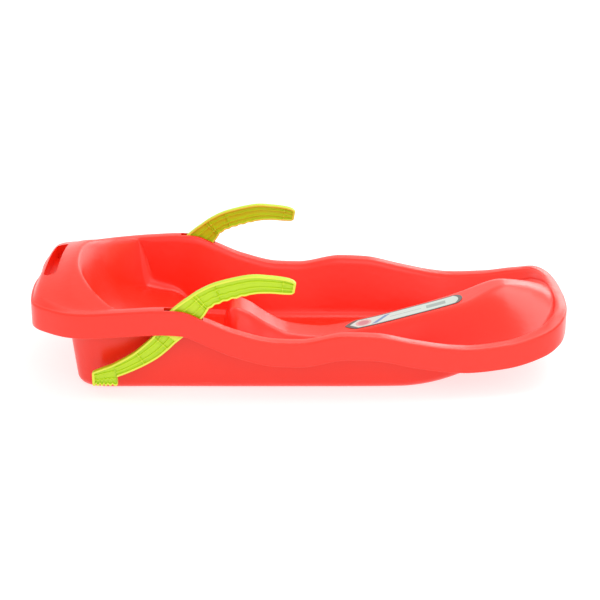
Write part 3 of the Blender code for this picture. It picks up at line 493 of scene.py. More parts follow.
class SmoothLine:
    """A smooth line through stations that never overshoots them."""

    def __init__(self, stations):
        table = np.array(stations, float)
        self.places = table[:, 0]
        self.heights = table[:, 1]
        rises = np.diff(self.heights) / np.diff(self.places)
        same_way = rises[:-1] * rises[1:] > 0
        total = np.where(same_way, rises[:-1] + rises[1:], 1.0)
        self.slopes = np.zeros(len(table))
        self.slopes[1:-1] = np.where(same_way, 2 * rises[:-1] * rises[1:] / total, 0.0)

    def __call__(self, place):
        place = np.clip(place, self.places[0], self.places[-1])
        index = np.clip(np.searchsorted(self.places, place, side="right") - 1, 0, len(self.places) - 2)
        span = self.places[index + 1] - self.places[index]
        t = (place - self.places[index]) / span
        start = self.heights[index] * (2 * t ** 3 - 3 * t ** 2 + 1)
        start = start + self.slopes[index] * span * (t ** 3 - 2 * t ** 2 + t)
        end = self.heights[index + 1] * (3 * t ** 2 - 2 * t ** 3)
        end = end + self.slopes[index + 1] * span * (t ** 3 - t ** 2)
        return start + end


RIM_CURVE = SmoothLine(RIM_LINE)
BACK_CURVE = SmoothLine(BACK_PROFILE)
DECK_CURVE = SmoothLine(DECK_PROFILE)
CROWN_CURVE = SmoothLine([(row[0], row[1]) for row in SPINE])
CROWN_WIDTH = SmoothLine([(row[0], row[2]) for row in SPINE])
SPINE_FOOT = SmoothLine([(row[0], row[3]) for row in SPINE])


def smoothstep(low, high, value):
    share = np.clip((value - low) / (high - low), 0.0, 1.0)
    return share * share * (3 - 2 * share)


def soft_min(first, second, softness):
    share = np.maximum(softness - np.abs(first - second), 0.0) / softness
    return np.minimum(first, second) - share * share * softness / 4


def catmull_rom(table, places, mirror_ends):
    """Points on the Catmull-Rom curve through a table's rows; a place counts rows."""
    before_first = table[1].copy() if mirror_ends else table[0].copy()
    after_last = table[-2].copy() if mirror_ends else table[-1].copy()
    if mirror_ends:
        before_first[1] *= -1
        after_last[1] *= -1
    rows = np.vstack([before_first, table, after_last])
    index = np.clip(places.astype(int), 0, len(table) - 2)
    t = (places - index)[:, None]
    a, b, c, d = (rows[index + shift] for shift in range(4))
    return 0.5 * (2 * b + (c - a) * t + (2 * a - 5 * b + 4 * c - d) * t ** 2
                  + (3 * b - a - 3 * c + d) * t ** 3)


def rim_top(x):
    return RIM_HEIGHT + RIM_CURVE(x / HALF_LENGTH)


def keel(x):
    reach = np.maximum(x - KEEL_START, 0.0)
    lifted = soft_min(reach * reach / (2 * KEEL_RADIUS), rim_top(x) - NOSE_DEPTH, KEEL_BLEND)
    return np.where(reach > 0, lifted, 0.0)


def deck_top(x, y):
    """The domed deck behind the seat."""
    rear_edge = -HALF_LENGTH * (1 - REAR_ROUNDING * np.abs(y / HALF_WIDTH) ** REAR_ROUNDING_POWER)
    dome = np.maximum(1 - (y / DECK_HALF_WIDTH) ** 2, 0.0) ** DECK_DOME_POWER
    return rim_top(x) + DECK_RISE * DECK_CURVE(x - rear_edge) * dome


def back_sweep(y):
    """How far forward of its middle the back's edge lies, at a distance from the centre line."""
    return BACK_SWEEP * np.abs(y / BACK_SWEEP_WIDTH) ** BACK_SWEEP_POWER


def seat_top(x, y):
    """The bucket: reclined back with steep sides, lower back, seat well and the floor of the foot wells."""
    reach = x - BACK_X
    side = BACK_CURVE(0.0) + BACK_SIDE_SLOPE * (back_sweep(y) - reach)
    return np.where(x > 0, keel(x), 0.0) - soft_min(-BACK_CURVE(reach), -side, BACK_SIDE_SOFTNESS)


def floor_top(x, y):
    """Height of the inside of the hull, from wall to wall."""
    height = np.where(x < 0, soft_min(deck_top(x, y), seat_top(x, y), RIDGE_SOFTNESS), seat_top(x, y))
    inner = HALF_LENGTH - NOSE_INSET - WALL
    limit = rim_top(HALF_LENGTH) - NOSE_CROWN_DROP + NOSE_FALL * np.maximum(inner - x, 0.0)
    crown = np.minimum(CROWN_CURVE(x / HALF_LENGTH), limit)
    across = np.abs(y)
    share = 1 - smoothstep(CROWN_WIDTH(x / HALF_LENGTH), SPINE_FOOT(x / HALF_LENGTH), across)
    return height + np.maximum(crown - height, 0.0) * share


def floor_under(x, y):
    """The underside of the skin, a wall's thickness below the inside, measured across the slope."""
    return np.maximum(below(floor_top, x, y), keel(x) + RUNNER_DEPTH)


def below(surface, x, y):
    """A surface moved down by the wall's thickness, measured across its slope."""
    lowest = surface(x, y) - WALL
    for angle in np.linspace(0, 2 * math.pi, PROBE_DIRECTIONS, endpoint=False):
        for reach in PROBE_REACHES:
            beside = surface(x + WALL * reach * math.cos(angle), y + WALL * reach * math.sin(angle))
            lowest = np.minimum(lowest, beside - WALL * math.sqrt(1 - reach ** 2))
    return lowest


def plan_points(places, layer):
    """Points of the half plan: layer 0 is the rim's outer edge, 1 the tub wall under it, 2 its foot."""
    table = catmull_rom(PLAN, places, True)
    along, across, rear, side, nose = table.T
    x = along * HALF_LENGTH
    y = np.minimum(across, 1.0) * HALF_WIDTH
    if layer >= 1:
        x = x + REAR_OVERHANG * rear - NOSE_INSET * nose
        y = y - SIDE_INSET * side
    if layer == 2:
        x = x + REAR_DRAFT * rear - NOSE_DRAFT * nose
        y = y - SIDE_DRAFT * side
    return np.column_stack([x, np.maximum(y, 0.0)])


def spaced_places(start, end, count, power=1.0):
    """Places along the half plan, evenly spaced along the rim or closer together near the start."""
    places = np.linspace(start, end, PLACE_SAMPLES)
    points = plan_points(places, 0)
    lengths = np.concatenate([[0.0], np.cumsum(np.linalg.norm(np.diff(points, axis=0), axis=1))])
    wanted = lengths[-1] * np.linspace(0, 1, count + 1) ** power
    return np.interp(wanted, lengths, places)


def unit_normals(points):
    """Inward normals of closed plan outlines that run anticlockwise."""
    ahead = np.roll(points, -1, axis=0) - np.roll(points, 1, axis=0)
    normals = np.column_stack([-ahead[:, 1], ahead[:, 0]])
    return normals / np.linalg.norm(normals, axis=1)[:, None]


def grid_faces(number):
    """Four-sided faces of a grid of point numbers."""
    corners = [number[:-1, :-1], number[1:, :-1], number[1:, 1:], number[:-1, 1:]]
    return np.stack(corners, axis=-1).reshape(-1, 4)


class FineHull:
    """Closed rings of points round the hull, from the floor's edge over the rim to the open underside."""

    def __init__(self, sizes):
        self.along = sizes.hull_rows
        self.across = sizes.hull_columns
        self.power = EDGE_CROWDING
        self.sizes = sizes
        last = len(PLAN) - 1
        side = spaced_places(REAR_CORNER, NOSE_CORNER, self.along)
        nose = spaced_places(last, NOSE_CORNER, self.across // 2, self.power)[::-1]
        rear = spaced_places(0, REAR_CORNER, self.across // 2, self.power)
        places = np.concatenate([side[:-1], nose[:-1], nose[::-1], side[:-1][::-1], rear[:-1][::-1],
                                 rear[1:-1]])
        signs = np.concatenate([-np.ones(len(side) + len(nose) - 2),
                                np.ones(len(nose) + len(side) - 1 + len(rear) - 1),
                                -np.ones(len(rear) - 2)])
        self.count = len(places)
        self.layers = []
        for layer in range(3):
            points = plan_points(places, layer)
            points[:, 1] *= signs
            self.layers.append(points)
        self.normals = [unit_normals(points) for points in self.layers]
        self.rim = rim_top(self.layers[0][:, 0])
        self.foot = keel(self.layers[2][:, 0])
        self.rings = []

    def outer_wall(self, height):
        share = np.clip((self.rim - height) / (self.rim - self.foot), 0.0, 1.0)[:, None]
        point = self.layers[1] * (1 - share) + self.layers[2] * share
        above = np.clip(height - self.foot, 0.0, BILGE_RADIUS)
        turn = BILGE_RADIUS - np.sqrt(np.maximum(BILGE_RADIUS ** 2 - (BILGE_RADIUS - above) ** 2, 0.0))
        return point + self.normals[2] * turn[:, None]

    def inner_wall(self, height):
        return self.outer_wall(height) + self.normals[1] * WALL

    def rim_inset(self, inset):
        inset = np.broadcast_to(inset, (self.count,))
        return self.layers[0] + self.normals[0] * inset[:, None]

    def add_ring(self, plan, height):
        self.rings.append(np.column_stack([plan, np.broadcast_to(height, (self.count,))]))

    def floor_meets_wall(self, surface):
        height = np.full(self.count, 0.5 * RIM_HEIGHT)
        for _ in range(MEETING_ROUNDS):
            point = self.inner_wall(height)
            height = 0.5 * height + 0.5 * surface(point[:, 0], point[:, 1])
        return height

    def build_rings(self):
        sizes = self.sizes
        edge_radius = sizes.rim_edge_radius
        inner_radius = sizes.rim_inner_radius
        deck_plan = self.rim_inset(RIM_BAND + DECK_PROBE_INSET)
        lift = floor_top(deck_plan[:, 0], deck_plan[:, 1]) - self.rim
        on_deck = np.where(deck_plan[:, 0] > 0, 0.0, smoothstep(-DECK_EDGE_BLEND, 0.0, lift))
        deck = on_deck[:, None]
        wall_foot = self.floor_meets_wall(floor_top)
        room = np.maximum(self.rim - wall_foot, LEAST_WALL)
        at_back = 1 - smoothstep(BACK_BLEND_START, BACK_BLEND_END, self.layers[1][:, 0])
        fillet = np.minimum(sizes.floor_fillet + sizes.back_fillet * at_back, FILLET_SHARE * room)
        corner = np.minimum(inner_radius, CORNER_SHARE * room)
        band_edge = self.inner_wall(self.rim) * (1 - deck) + self.rim_inset(RIM_BAND) * deck

        # From the floor up the inside wall; on the deck the same rings run out along the dome to the rim.
        fillet_steps = 7
        wall_steps = 12
        corner_steps = 6
        total = fillet_steps + wall_steps + corner_steps
        for step in range(total + 1):
            if step <= fillet_steps:
                angle = 0.5 * math.pi * step / fillet_steps
                inset = fillet * (1 - math.sin(angle))
                rise = fillet * (1 - math.cos(angle))
                base = self.inner_wall(wall_foot + rise) + self.normals[1] * inset[:, None]
                height = floor_top(base[:, 0], base[:, 1]) + rise
            elif step <= fillet_steps + wall_steps:
                share = (step - fillet_steps) / wall_steps
                foot_of_wall = self.inner_wall(wall_foot + fillet)
                low = floor_top(foot_of_wall[:, 0], foot_of_wall[:, 1]) + fillet
                height = low * (1 - share) + (self.rim - corner) * share
                base = self.inner_wall(height)
            else:
                angle = 0.5 * math.pi * (step - fillet_steps - wall_steps) / corner_steps
                base = band_edge - self.normals[0] * (corner * (1 - math.cos(angle)))[:, None]
                height = self.rim - corner * (1 - math.sin(angle))
            out = step / total
            on_dome = self.rim_inset((RIM_BAND + DOME_RUN) * (1 - out) + (RIM_BAND - inner_radius) * out)
            dome_height = np.maximum(floor_top(on_dome[:, 0], on_dome[:, 1]), self.rim)
            self.add_ring(base * (1 - deck) + on_dome * deck, height * (1 - on_deck) + dome_height * on_deck)

        # Rim band: slightly crowned along the sides; on the deck it keeps the dome's slope
        band_steps = 6
        start = np.linalg.norm(self.rings[-1][:, :2] - self.layers[0], axis=1)
        for step in range(1, band_steps):
            share = step / band_steps
            inset = start * (1 - share) + edge_radius * share
            plan = self.rim_inset(inset)
            crown = sizes.rim_crown * math.sin(math.pi * share)
            dome = np.maximum(deck_top(plan[:, 0], plan[:, 1]) - self.rim, 0.0) * on_deck
            self.add_ring(plan, self.rim + crown + dome)
        for step in range(ARC_STEPS + 1):
            angle = 0.5 * math.pi * step / ARC_STEPS
            inset = edge_radius * (1 - math.sin(angle))
            self.add_ring(self.rim_inset(inset), self.rim - edge_radius * (1 - math.cos(angle)))
        lip = sizes.skirt_lip_radius
        for step in range(1, SKIRT_STEPS + 1):
            drop = edge_radius + (SKIRT_HEIGHT - lip - edge_radius) * step / SKIRT_STEPS
            self.add_ring(self.rim_inset(0.0), self.rim - drop)
        for step in range(1, ARC_STEPS + 1):
            angle = math.pi * step / ARC_STEPS
            inset = 0.5 * WALL * (1 - math.cos(angle))
            self.add_ring(self.rim_inset(inset), self.rim - SKIRT_HEIGHT + lip * (1 - math.sin(angle)))
        for drop in SKIRT_INSIDE_SHARES:
            self.add_ring(self.rim_inset(WALL), self.rim - WALL - SKIRT_HEIGHT * drop)
        self.add_ring(self.rim_inset(WALL), self.rim - WALL)

        # Under the rim and the deck, then down the tub's outer wall to the runner
        outer = self.rim_inset(WALL)
        for step in range(1, UNDER_RIM_STEPS + 1):
            share = step / UNDER_RIM_STEPS
            plan = outer * (1 - share) + self.layers[1] * share
            inset = np.sum((plan - self.layers[0]) * self.normals[0], axis=1)
            dome = np.maximum(below(deck_top, plan[:, 0], plan[:, 1]) + WALL - self.rim, 0.0)
            self.add_ring(plan, self.rim + dome * on_deck * smoothstep(WALL, 2 * WALL, inset) - WALL)
        top = self.rim - WALL
        for step in range(1, OUTER_WALL_STEPS + 1):
            share = step / OUTER_WALL_STEPS
            height = top * (1 - share) + (self.foot + BILGE_RADIUS) * share
            self.add_ring(self.outer_wall(height), height)
        for step in range(1, ARC_STEPS + 1):
            angle = 0.5 * math.pi * step / ARC_STEPS
            height = self.foot + BILGE_RADIUS * (1 - math.sin(angle))
            self.add_ring(self.outer_wall(height), height)
        self.add_ring(self.outer_wall(self.foot) + self.normals[2] * WALL, self.foot)
        under = self.floor_meets_wall(floor_under)
        for share in INNER_WALL_SHARES:
            height = self.foot + (under - self.foot) * share
            plan = self.inner_wall(height)
            self.add_ring(plan, height)
        plan = self.inner_wall(under)
        self.add_ring(plan, floor_under(plan[:, 0], plan[:, 1]))

    def sides(self):
        """Numbers of a ring's points along its right, left, rear and nose sides."""
        lengthwise = np.arange(self.along + 1)
        crosswise = np.arange(self.across + 1)
        return (lengthwise, (2 * self.along + self.across - lengthwise) % self.count,
                (self.count - crosswise) % self.count, self.along + crosswise)

    def patch(self, edge, surface, shift):
        """A grid of points inside a ring, blended from its four sides, at the surface's height."""
        rows = self.along
        columns = self.across
        right, left, rear, nose = (edge[numbers] for numbers in self.sides())
        side = 2 * np.arange(columns + 1) / columns - 1
        v = (0.5 + 0.5 * np.sign(side) * np.abs(side) ** self.power)[None, :, None]
        u = (np.arange(rows + 1) / rows)[:, None, None]
        sides = right[:, None, :2] * (1 - v) + left[:, None, :2] * v
        ends = rear[None, :, :2] * (1 - u) + nose[None, :, :2] * u
        corners = (rear[0, :2] * (1 - u) * (1 - v) + nose[0, :2] * u * (1 - v)
                   + rear[-1, :2] * (1 - u) * v + nose[-1, :2] * u * v)
        plan = (sides + ends - corners)[1:-1, 1:-1]
        x = plan[..., 0] - shift(plan[..., 0], plan[..., 1])
        y = plan[..., 1]
        return np.stack([x, y, surface(x, y)], axis=-1).reshape(-1, 3)

    def patch_faces(self, ring_offset, grid_offset, flip):
        rows = self.along
        columns = self.across
        right, left, rear, nose = (ring_offset + numbers for numbers in self.sides())
        number = np.empty((rows + 1, columns + 1), int)
        number[0] = rear
        number[-1] = nose
        number[:, 0] = right
        number[:, -1] = left
        inner = np.arange((rows - 1) * (columns - 1)).reshape(rows - 1, columns - 1)
        number[1:-1, 1:-1] = grid_offset + inner
        faces = grid_faces(number)
        return faces[:, ::-1] if flip else faces

    def mesh(self):
        self.build_rings()
        count = self.count
        top = self.patch(self.rings[0], floor_top, ridge_shift)
        under = self.patch(self.rings[-1], floor_under, lambda x, y: 0.0)
        points = np.vstack(self.rings + [top, under])
        index = np.arange(count)
        following = (index + 1) % count
        faces = []
        for row in range(len(self.rings) - 1):
            low = row * count
            high = (row + 1) * count
            faces.append(np.column_stack([low + index, high + index, high + following, low + following]))
        ring_total = len(self.rings) * count
        faces.append(self.patch_faces(0, ring_total, False))
        faces.append(self.patch_faces((len(self.rings) - 1) * count, ring_total + len(top), True))
        mesh_data = bpy.data.meshes.new("hull_shell")
        mesh_data.from_pydata(points.tolist(), [], np.vstack(faces).tolist())
        mesh_data.update()
        return mesh_data


def ridge_shift(x, y):
    """Moves the points near the back's edge rearward at mid-hull, so that a line of them follows the edge."""
    edge = BACK_X + BACK_SWEEP
    before = smoothstep(RIM_BAND + DECK_PROBE_INSET - HALF_LENGTH, edge, x)
    after = 1 - smoothstep(edge, BACK_X + ROW_SHIFT_LENGTH, x)
    return np.maximum(BACK_SWEEP - back_sweep(y), 0.0) * before * after


def add_object(name, mesh_data, finish):
    piece = bpy.data.objects.new(name, mesh_data)
    bpy.context.scene.collection.objects.link(piece)
    mesh_data.materials.clear()
    mesh_data.materials.append(finish)
    return piece


def shade(mesh_data, crease):
    """Shades smooth, with hard edges where faces meet at more than an angle in degrees."""
    mesh_data.shade_smooth()
    mesh_data.set_sharp_from_angle(angle=math.radians(crease))


def outward_mesh(name, points, faces):
    """A mesh whose faces all look outward."""
    mesh_data = bpy.data.meshes.new(name)
    mesh_data.from_pydata(points, [], faces)
    form = bmesh.new()
    form.from_mesh(mesh_data)
    bmesh.ops.recalc_face_normals(form, faces=form.faces)
    form.to_mesh(mesh_data)
    form.free()
    return mesh_data


def add_band(form, first, second):
    """Faces between two closed loops that have the same number of points."""
    for index in range(len(first)):
        following = (index + 1) % len(first)
        form.faces.new((first[index], first[following], second[following], second[index]))


def prism(outline, low, high):
    """A closed upright form over a plan outline."""
    form = bmesh.new()
    floor = [form.verts.new((x, y, low)) for x, y in outline]
    lid = [form.verts.new((x, y, high)) for x, y in outline]
    form.faces.new(list(reversed(floor)))
    form.faces.new(lid)
    add_band(form, floor, lid)
    return form


def rod(axis, centre, radius, low, high):
    """A closed round form along Y or X; the centre gives the other two coordinates."""
    form = bmesh.new()
    bmesh.ops.create_cone(form, cap_ends=True, segments=ROUND_STEPS, radius1=radius, radius2=radius,
                          depth=abs(high - low))
    middle = 0.5 * (low + high)
    place = (centre[0], middle, centre[1]) if axis == "Y" else (middle, centre[0], centre[1])
    turn = Matrix.Rotation(math.pi / 2, 4, "X" if axis == "Y" else "Y")
    bmesh.ops.transform(form, matrix=Matrix.Translation(place) @ turn, verts=form.verts)
    return form


def gathered(forms):
    """One form that holds several separate closed forms."""
    whole = bmesh.new()
    for form in forms:
        mesh_data = bpy.data.meshes.new("gathered")
        form.to_mesh(mesh_data)
        form.free()
        whole.from_mesh(mesh_data)
        bpy.data.meshes.remove(mesh_data)
    return whole


def slot_outline(centre, length, width, radius, steps=10):
    """A slot along X whose corners are rounded by a radius."""
    outline = []
    for corner, (along, across) in enumerate(((1, 1), (-1, 1), (-1, -1), (1, -1))):
        for step in range(steps + 1):
            angle = 0.5 * math.pi * (corner + step / steps)
            point = (centre[0] + along * (length / 2 - radius) + radius * math.cos(angle),
                     centre[1] + across * (width / 2 - radius) + radius * math.sin(angle))
            if not outline or math.dist(point, outline[-1]) > SAME_POINT:
                outline.append(point)
    if math.dist(outline[0], outline[-1]) < SAME_POINT:
        outline.pop()
    return outline


def cut(piece, form, name, operation="DIFFERENCE"):
    """Takes a form out of a piece, or adds it, with an exact Boolean, and applies it."""
    mesh_data = bpy.data.meshes.new(name)
    form.to_mesh(mesh_data)
    form.free()
    cutter = bpy.data.objects.new(name, mesh_data)
    bpy.context.scene.collection.objects.link(cutter)
    modifier = piece.modifiers.new(name, "BOOLEAN")
    modifier.operation = operation
    modifier.solver = "EXACT"
    modifier.object = cutter
    bpy.context.view_layer.update()
    evaluated = piece.evaluated_get(bpy.context.evaluated_depsgraph_get())
    result = bpy.data.meshes.new_from_object(evaluated)
    piece.modifiers.clear()
    piece.data = result
    bpy.data.objects.remove(cutter)


def pivot_bosses():
    """Bosses that hold the pins, on the tub wall and inside the skirt."""
    spans = ((WALL_OUTER_Y - WALL / 2, LEVER_LOW.y - LEVER_SIDE_GAP),
             (LEVER_HIGH.y + LEVER_SIDE_GAP, SKIRT_INNER_Y + WALL / 2))
    centre = (PIVOT.x, PIVOT.z)
    return [rod("Y", centre, BOSS_DIAMETER / 2, side * low, side * high)
            for side in (1, -1) for low, high in spans]


def pin_bore(side):
    """A blind bore for a pin, through the lever and into both bosses."""
    return rod("Y", (PIVOT.x, PIVOT.z), PIN_DIAMETER / 2 + GAP,
               side * (PIN_LOW.y - GAP), side * (PIN_HIGH.y + GAP))


def lever_slots():
    """Slots through the rim that the levers swing in, from the part's own slot."""
    inner = LEVER_LOW.y - LEVER_SIDE_GAP
    outer = LEVER_HIGH.y + LEVER_SIDE_GAP
    middle_x = 0.5 * (SLOT_REAR + SLOT_FRONT)
    middle_y = 0.5 * (inner + outer)
    forms = []
    for side in (1, -1):
        centre = (middle_x, side * middle_y)
        outline = slot_outline(centre, SLOT_FRONT - SLOT_REAR, outer - inner, SLOT_CORNER)
        forms.append(prism(outline, rim_top(SLOT_FRONT) - 2 * WALL, RIM_HEIGHT + WALL))
    return forms


def hand_hold_outline(margin):
    """The hand hold's plan, wider all round by a margin, with points close together on its long sides."""
    width = GRIP_WIDTH + 2 * margin
    turned = slot_outline((0.0, 0.0), GRIP_LENGTH + 2 * margin, width, width / 2)
    corners = [(GRIP_X - y, x) for x, y in turned]
    outline = []
    for first, second in zip(corners, corners[1:] + corners[:1]):
        parts = max(round(math.dist(first, second) / CUP_POINT_SPACING), 1)
        for part in range(parts):
            share = part / parts
            outline.append(tuple(a + (b - a) * share for a, b in zip(first, second)))
    return outline


def hand_hold_cup():
    """The pocket's walls and floor; their upper edge runs inside the deck's skin."""
    form = bmesh.new()
    outline = hand_hold_outline(WALL)
    straight = 0.5 * (GRIP_LENGTH - GRIP_WIDTH)
    inward = (0.5 * GRIP_WIDTH - CUP_LID_MARGIN) / (0.5 * GRIP_WIDTH + WALL)
    floor = []
    edge = []
    lid = []
    for x, y in outline:
        middle_y = min(max(y, -straight), straight)
        inner_x = GRIP_X + (x - GRIP_X) * inward
        inner_y = middle_y + (y - middle_y) * inward
        floor.append(form.verts.new((x, y, GRIP_CUP_FLOOR - WALL)))
        edge.append(form.verts.new((x, y, deck_top(x, y) - WALL / 2)))
        lid.append(form.verts.new((inner_x, inner_y, deck_top(inner_x, inner_y) - WALL / 2)))
    add_band(form, floor, edge)
    add_band(form, edge, lid)
    form.faces.new(list(reversed(floor)))
    form.faces.new(lid)
    bmesh.ops.triangulate(form, faces=form.faces)
    bmesh.ops.recalc_face_normals(form, faces=form.faces)
    return form


def finger_room():
    """The room inside the pocket, up through the deck."""
    return prism(hand_hold_outline(0.0), GRIP_CUP_FLOOR, RIM_HEIGHT + 2 * DECK_RISE)


def moulded_bars():
    """Three short bars that stand proud of the lower back, side by side."""
    forms = []
    for number in (-1, 0, 1):
        middle = number * BAR_SPACING
        form = bmesh.new()
        rings = []
        for share in np.linspace(0, 1, BAR_RINGS):
            x = BAR_PLACE[0] + (BAR_PLACE[1] - BAR_PLACE[0]) * share
            thin = math.sqrt(max(1 - abs(2 * share - 1) ** BAR_END_POWER, BAR_LEAST))
            ground = float(floor_top(x, middle))
            ring = []
            for angle in np.linspace(0, 2 * math.pi, BAR_SIDES, endpoint=False):
                y = middle + 0.5 * BAR_WIDTH * thin * math.cos(angle)
                ring.append(form.verts.new((x, y, ground + BAR_RISE * thin * math.sin(angle))))
            rings.append(ring)
        for first, second in zip(rings, rings[1:]):
            add_band(form, first, second)
        form.faces.new(rings[0])
        form.faces.new(list(reversed(rings[-1])))
        bmesh.ops.recalc_face_normals(form, faces=form.faces)
        forms.append(form)
    return forms


def make_hull(sizes, colours):
    hull = add_object("hull_shell", FineHull(sizes).mesh(), red_polyethylene(colours))
    cut(hull, gathered(pivot_bosses() + moulded_bars() + [hand_hold_cup()]), "added_forms", "UNION")
    tow_hole = rod("X", (0.0, rim_top(HALF_LENGTH) - TOW_HOLE_DROP), TOW_HOLE_DIAMETER / 2,
                   HALF_LENGTH - SIDE_INSET, HALF_LENGTH + SIDE_INSET)
    cut(hull, gathered(lever_slots() + [pin_bore(1), pin_bore(-1), finger_room(), tow_hole]), "openings")
    shade(hull.data, HULL_CREASE)
    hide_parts("hull")
    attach(hull, "sled")


def lever_line(count):
    """Stations of the lever: place, middle, normal, depth and the distance along it from the pivot."""
    places = np.linspace(0, len(LEVER_PATH) - 1, count)
    table = catmull_rom(LEVER_PATH, places, False)
    middle = table[:, :2]
    tangent = np.gradient(middle, axis=0)
    step = np.linalg.norm(tangent, axis=1)
    tangent = tangent / step[:, None]
    normal = np.column_stack([-tangent[:, 1], tangent[:, 0]])
    lengths = np.concatenate([[0.0], np.cumsum(np.linalg.norm(np.diff(middle, axis=0), axis=1))])
    pivot = np.argmin(np.linalg.norm(middle, axis=1))
    reach = lengths[pivot] - lengths
    return middle, normal, table[:, 2], reach


def lever_profile(half, recess, low_edge, high_edge):
    """One face of a cross-section, from the low edge to the high edge, as (across, height) pairs."""
    radius = LEVER_EDGE_RADIUS
    span = high_edge - low_edge
    flange = min(LEVER_FLANGE, 0.3 * span)
    web = half - recess
    ridge = web + LINE_RIB_HEIGHT * recess
    edge = [(0.0, half - radius), (0.3 * radius, half - 0.3 * radius), (radius, half),
            (flange - 0.0005, half), (flange, half - 0.0003), (flange + 0.0006, web + 0.0004),
            (flange + 0.0011, web)]
    rib = [(0.0016, web), (0.0011, ridge - 0.0003), (0.0008, ridge)]
    points = [(low_edge + inset, height) for inset, height in edge]
    for line in (-1, 1):
        middle = 0.5 * (low_edge + high_edge) + line * span / 6
        points += [(middle - out, height) for out, height in rib]
        points += [(middle + out, height) for out, height in reversed(rib)]
    return points + [(high_edge - inset, height) for inset, height in reversed(edge)]


def lever_mesh(name):
    """The lever in its own frame: pivot at the origin, thickness along Y."""
    middle, normal, depth, reach = lever_line(LEVER_STATIONS)
    half = 0.5 * (LEVER_HIGH.y - LEVER_LOW.y)
    tip = reach[0]
    heel = reach[-1]
    points = []
    for centre, side, deep, along in zip(middle, normal, depth, reach):
        # The recess fades out at both ends, round the hub and over the cross ribs
        open_face = smoothstep(tip - SOLID_END, tip - OPEN_FROM_TIP, along)
        open_face *= smoothstep(heel + SOLID_END, heel + OPEN_FROM_HEEL, along)
        open_face *= smoothstep(*HUB_RADII, np.hypot(*centre))
        recess = max((half - LEVER_WEB / 2) * open_face, LEAST_RECESS)
        to_rib = min(abs(along - rib) for rib in CROSS_RIBS)
        recess *= 1 - CROSS_RIB_HEIGHT * (1 - smoothstep(*CROSS_RIB_HALF_WIDTHS, to_rib))
        low = -deep / 2
        high = deep / 2
        # Finger ripples under the handle
        if RIPPLE_START < along < RIPPLE_END:
            fade = smoothstep(RIPPLE_START, RIPPLE_START + RIPPLE_FADE, along)
            fade *= 1 - smoothstep(RIPPLE_END - 2 * RIPPLE_FADE, RIPPLE_END, along)
            high -= RIPPLE_DEPTH * fade * math.cos(2 * math.pi * along / RIPPLE_PITCH)
        # Toothed foot: its end is upright and its teeth stand in a level row
        from_heel = along - heel
        upright = 1 - smoothstep(FOOT_UPRIGHT_SHARE * FOOT_LENGTH, FOOT_TURN_LENGTH, from_heel)
        side = side * (1 - upright) + np.array((0.0, -1.0)) * upright
        side = side / np.linalg.norm(side)
        if from_heel < FOOT_LENGTH:
            ramp = smoothstep(FOOT_LENGTH, FOOT_LENGTH - FOOT_STEP, from_heel)
            phase = (from_heel / FOOT_LENGTH * TOOTH_COUNT) % 1.0
            tooth = smoothstep(*TOOTH_RISE, phase) * (1 - smoothstep(*TOOTH_END, phase))
            level = (centre[1] - FOOT_BOTTOM) / -side[1] + TOOTH_DEPTH * tooth
            high += max(level - high, 0.0) * ramp
        profile = lever_profile(half, recess, low, high)
        for across, height in profile + [(across, -height) for across, height in reversed(profile)]:
            spot = centre + side * across
            points.append((spot[0], height, spot[1]))
    size = len(points) // LEVER_STATIONS
    index = np.arange(size)
    following = (index + 1) % size
    faces = []
    for row in range(LEVER_STATIONS - 1):
        low = row * size
        high = low + size
        faces.extend(np.column_stack([low + following, low + index, high + index, high + following]).tolist())
    faces.append(list(range(size)))
    faces.append(list(reversed(range(len(points) - size, len(points)))))
    return outward_mesh(name, points, faces)


def make_levers(colours):
    for side, sign in (("left", 1), ("right", -1)):
        node = "brake_lever_" + side
        finish = lime_polypropylene(colours, "lime_polypropylene_" + side)
        low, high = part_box(node)
        mesh_data = lever_mesh("brake_bar_" + side)
        mesh_data.transform(Matrix.Translation((PIVOT.x, 0.5 * (low.y + high.y), PIVOT.z)))
        lever = add_object("brake_bar_" + side, mesh_data, finish)
        cut(lever, pin_bore(sign), "pin_bore_" + side)
        shade(lever.data, LEVER_CREASE)
        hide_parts(node)
        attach(lever, "brake_" + side)


def make_pins(colours):
    for side in ("left", "right"):
        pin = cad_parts["pivot_pin_" + side]
        pin.data.materials.clear()
        pin.data.materials.append(drawn_steel(colours, "drawn_steel_" + side))


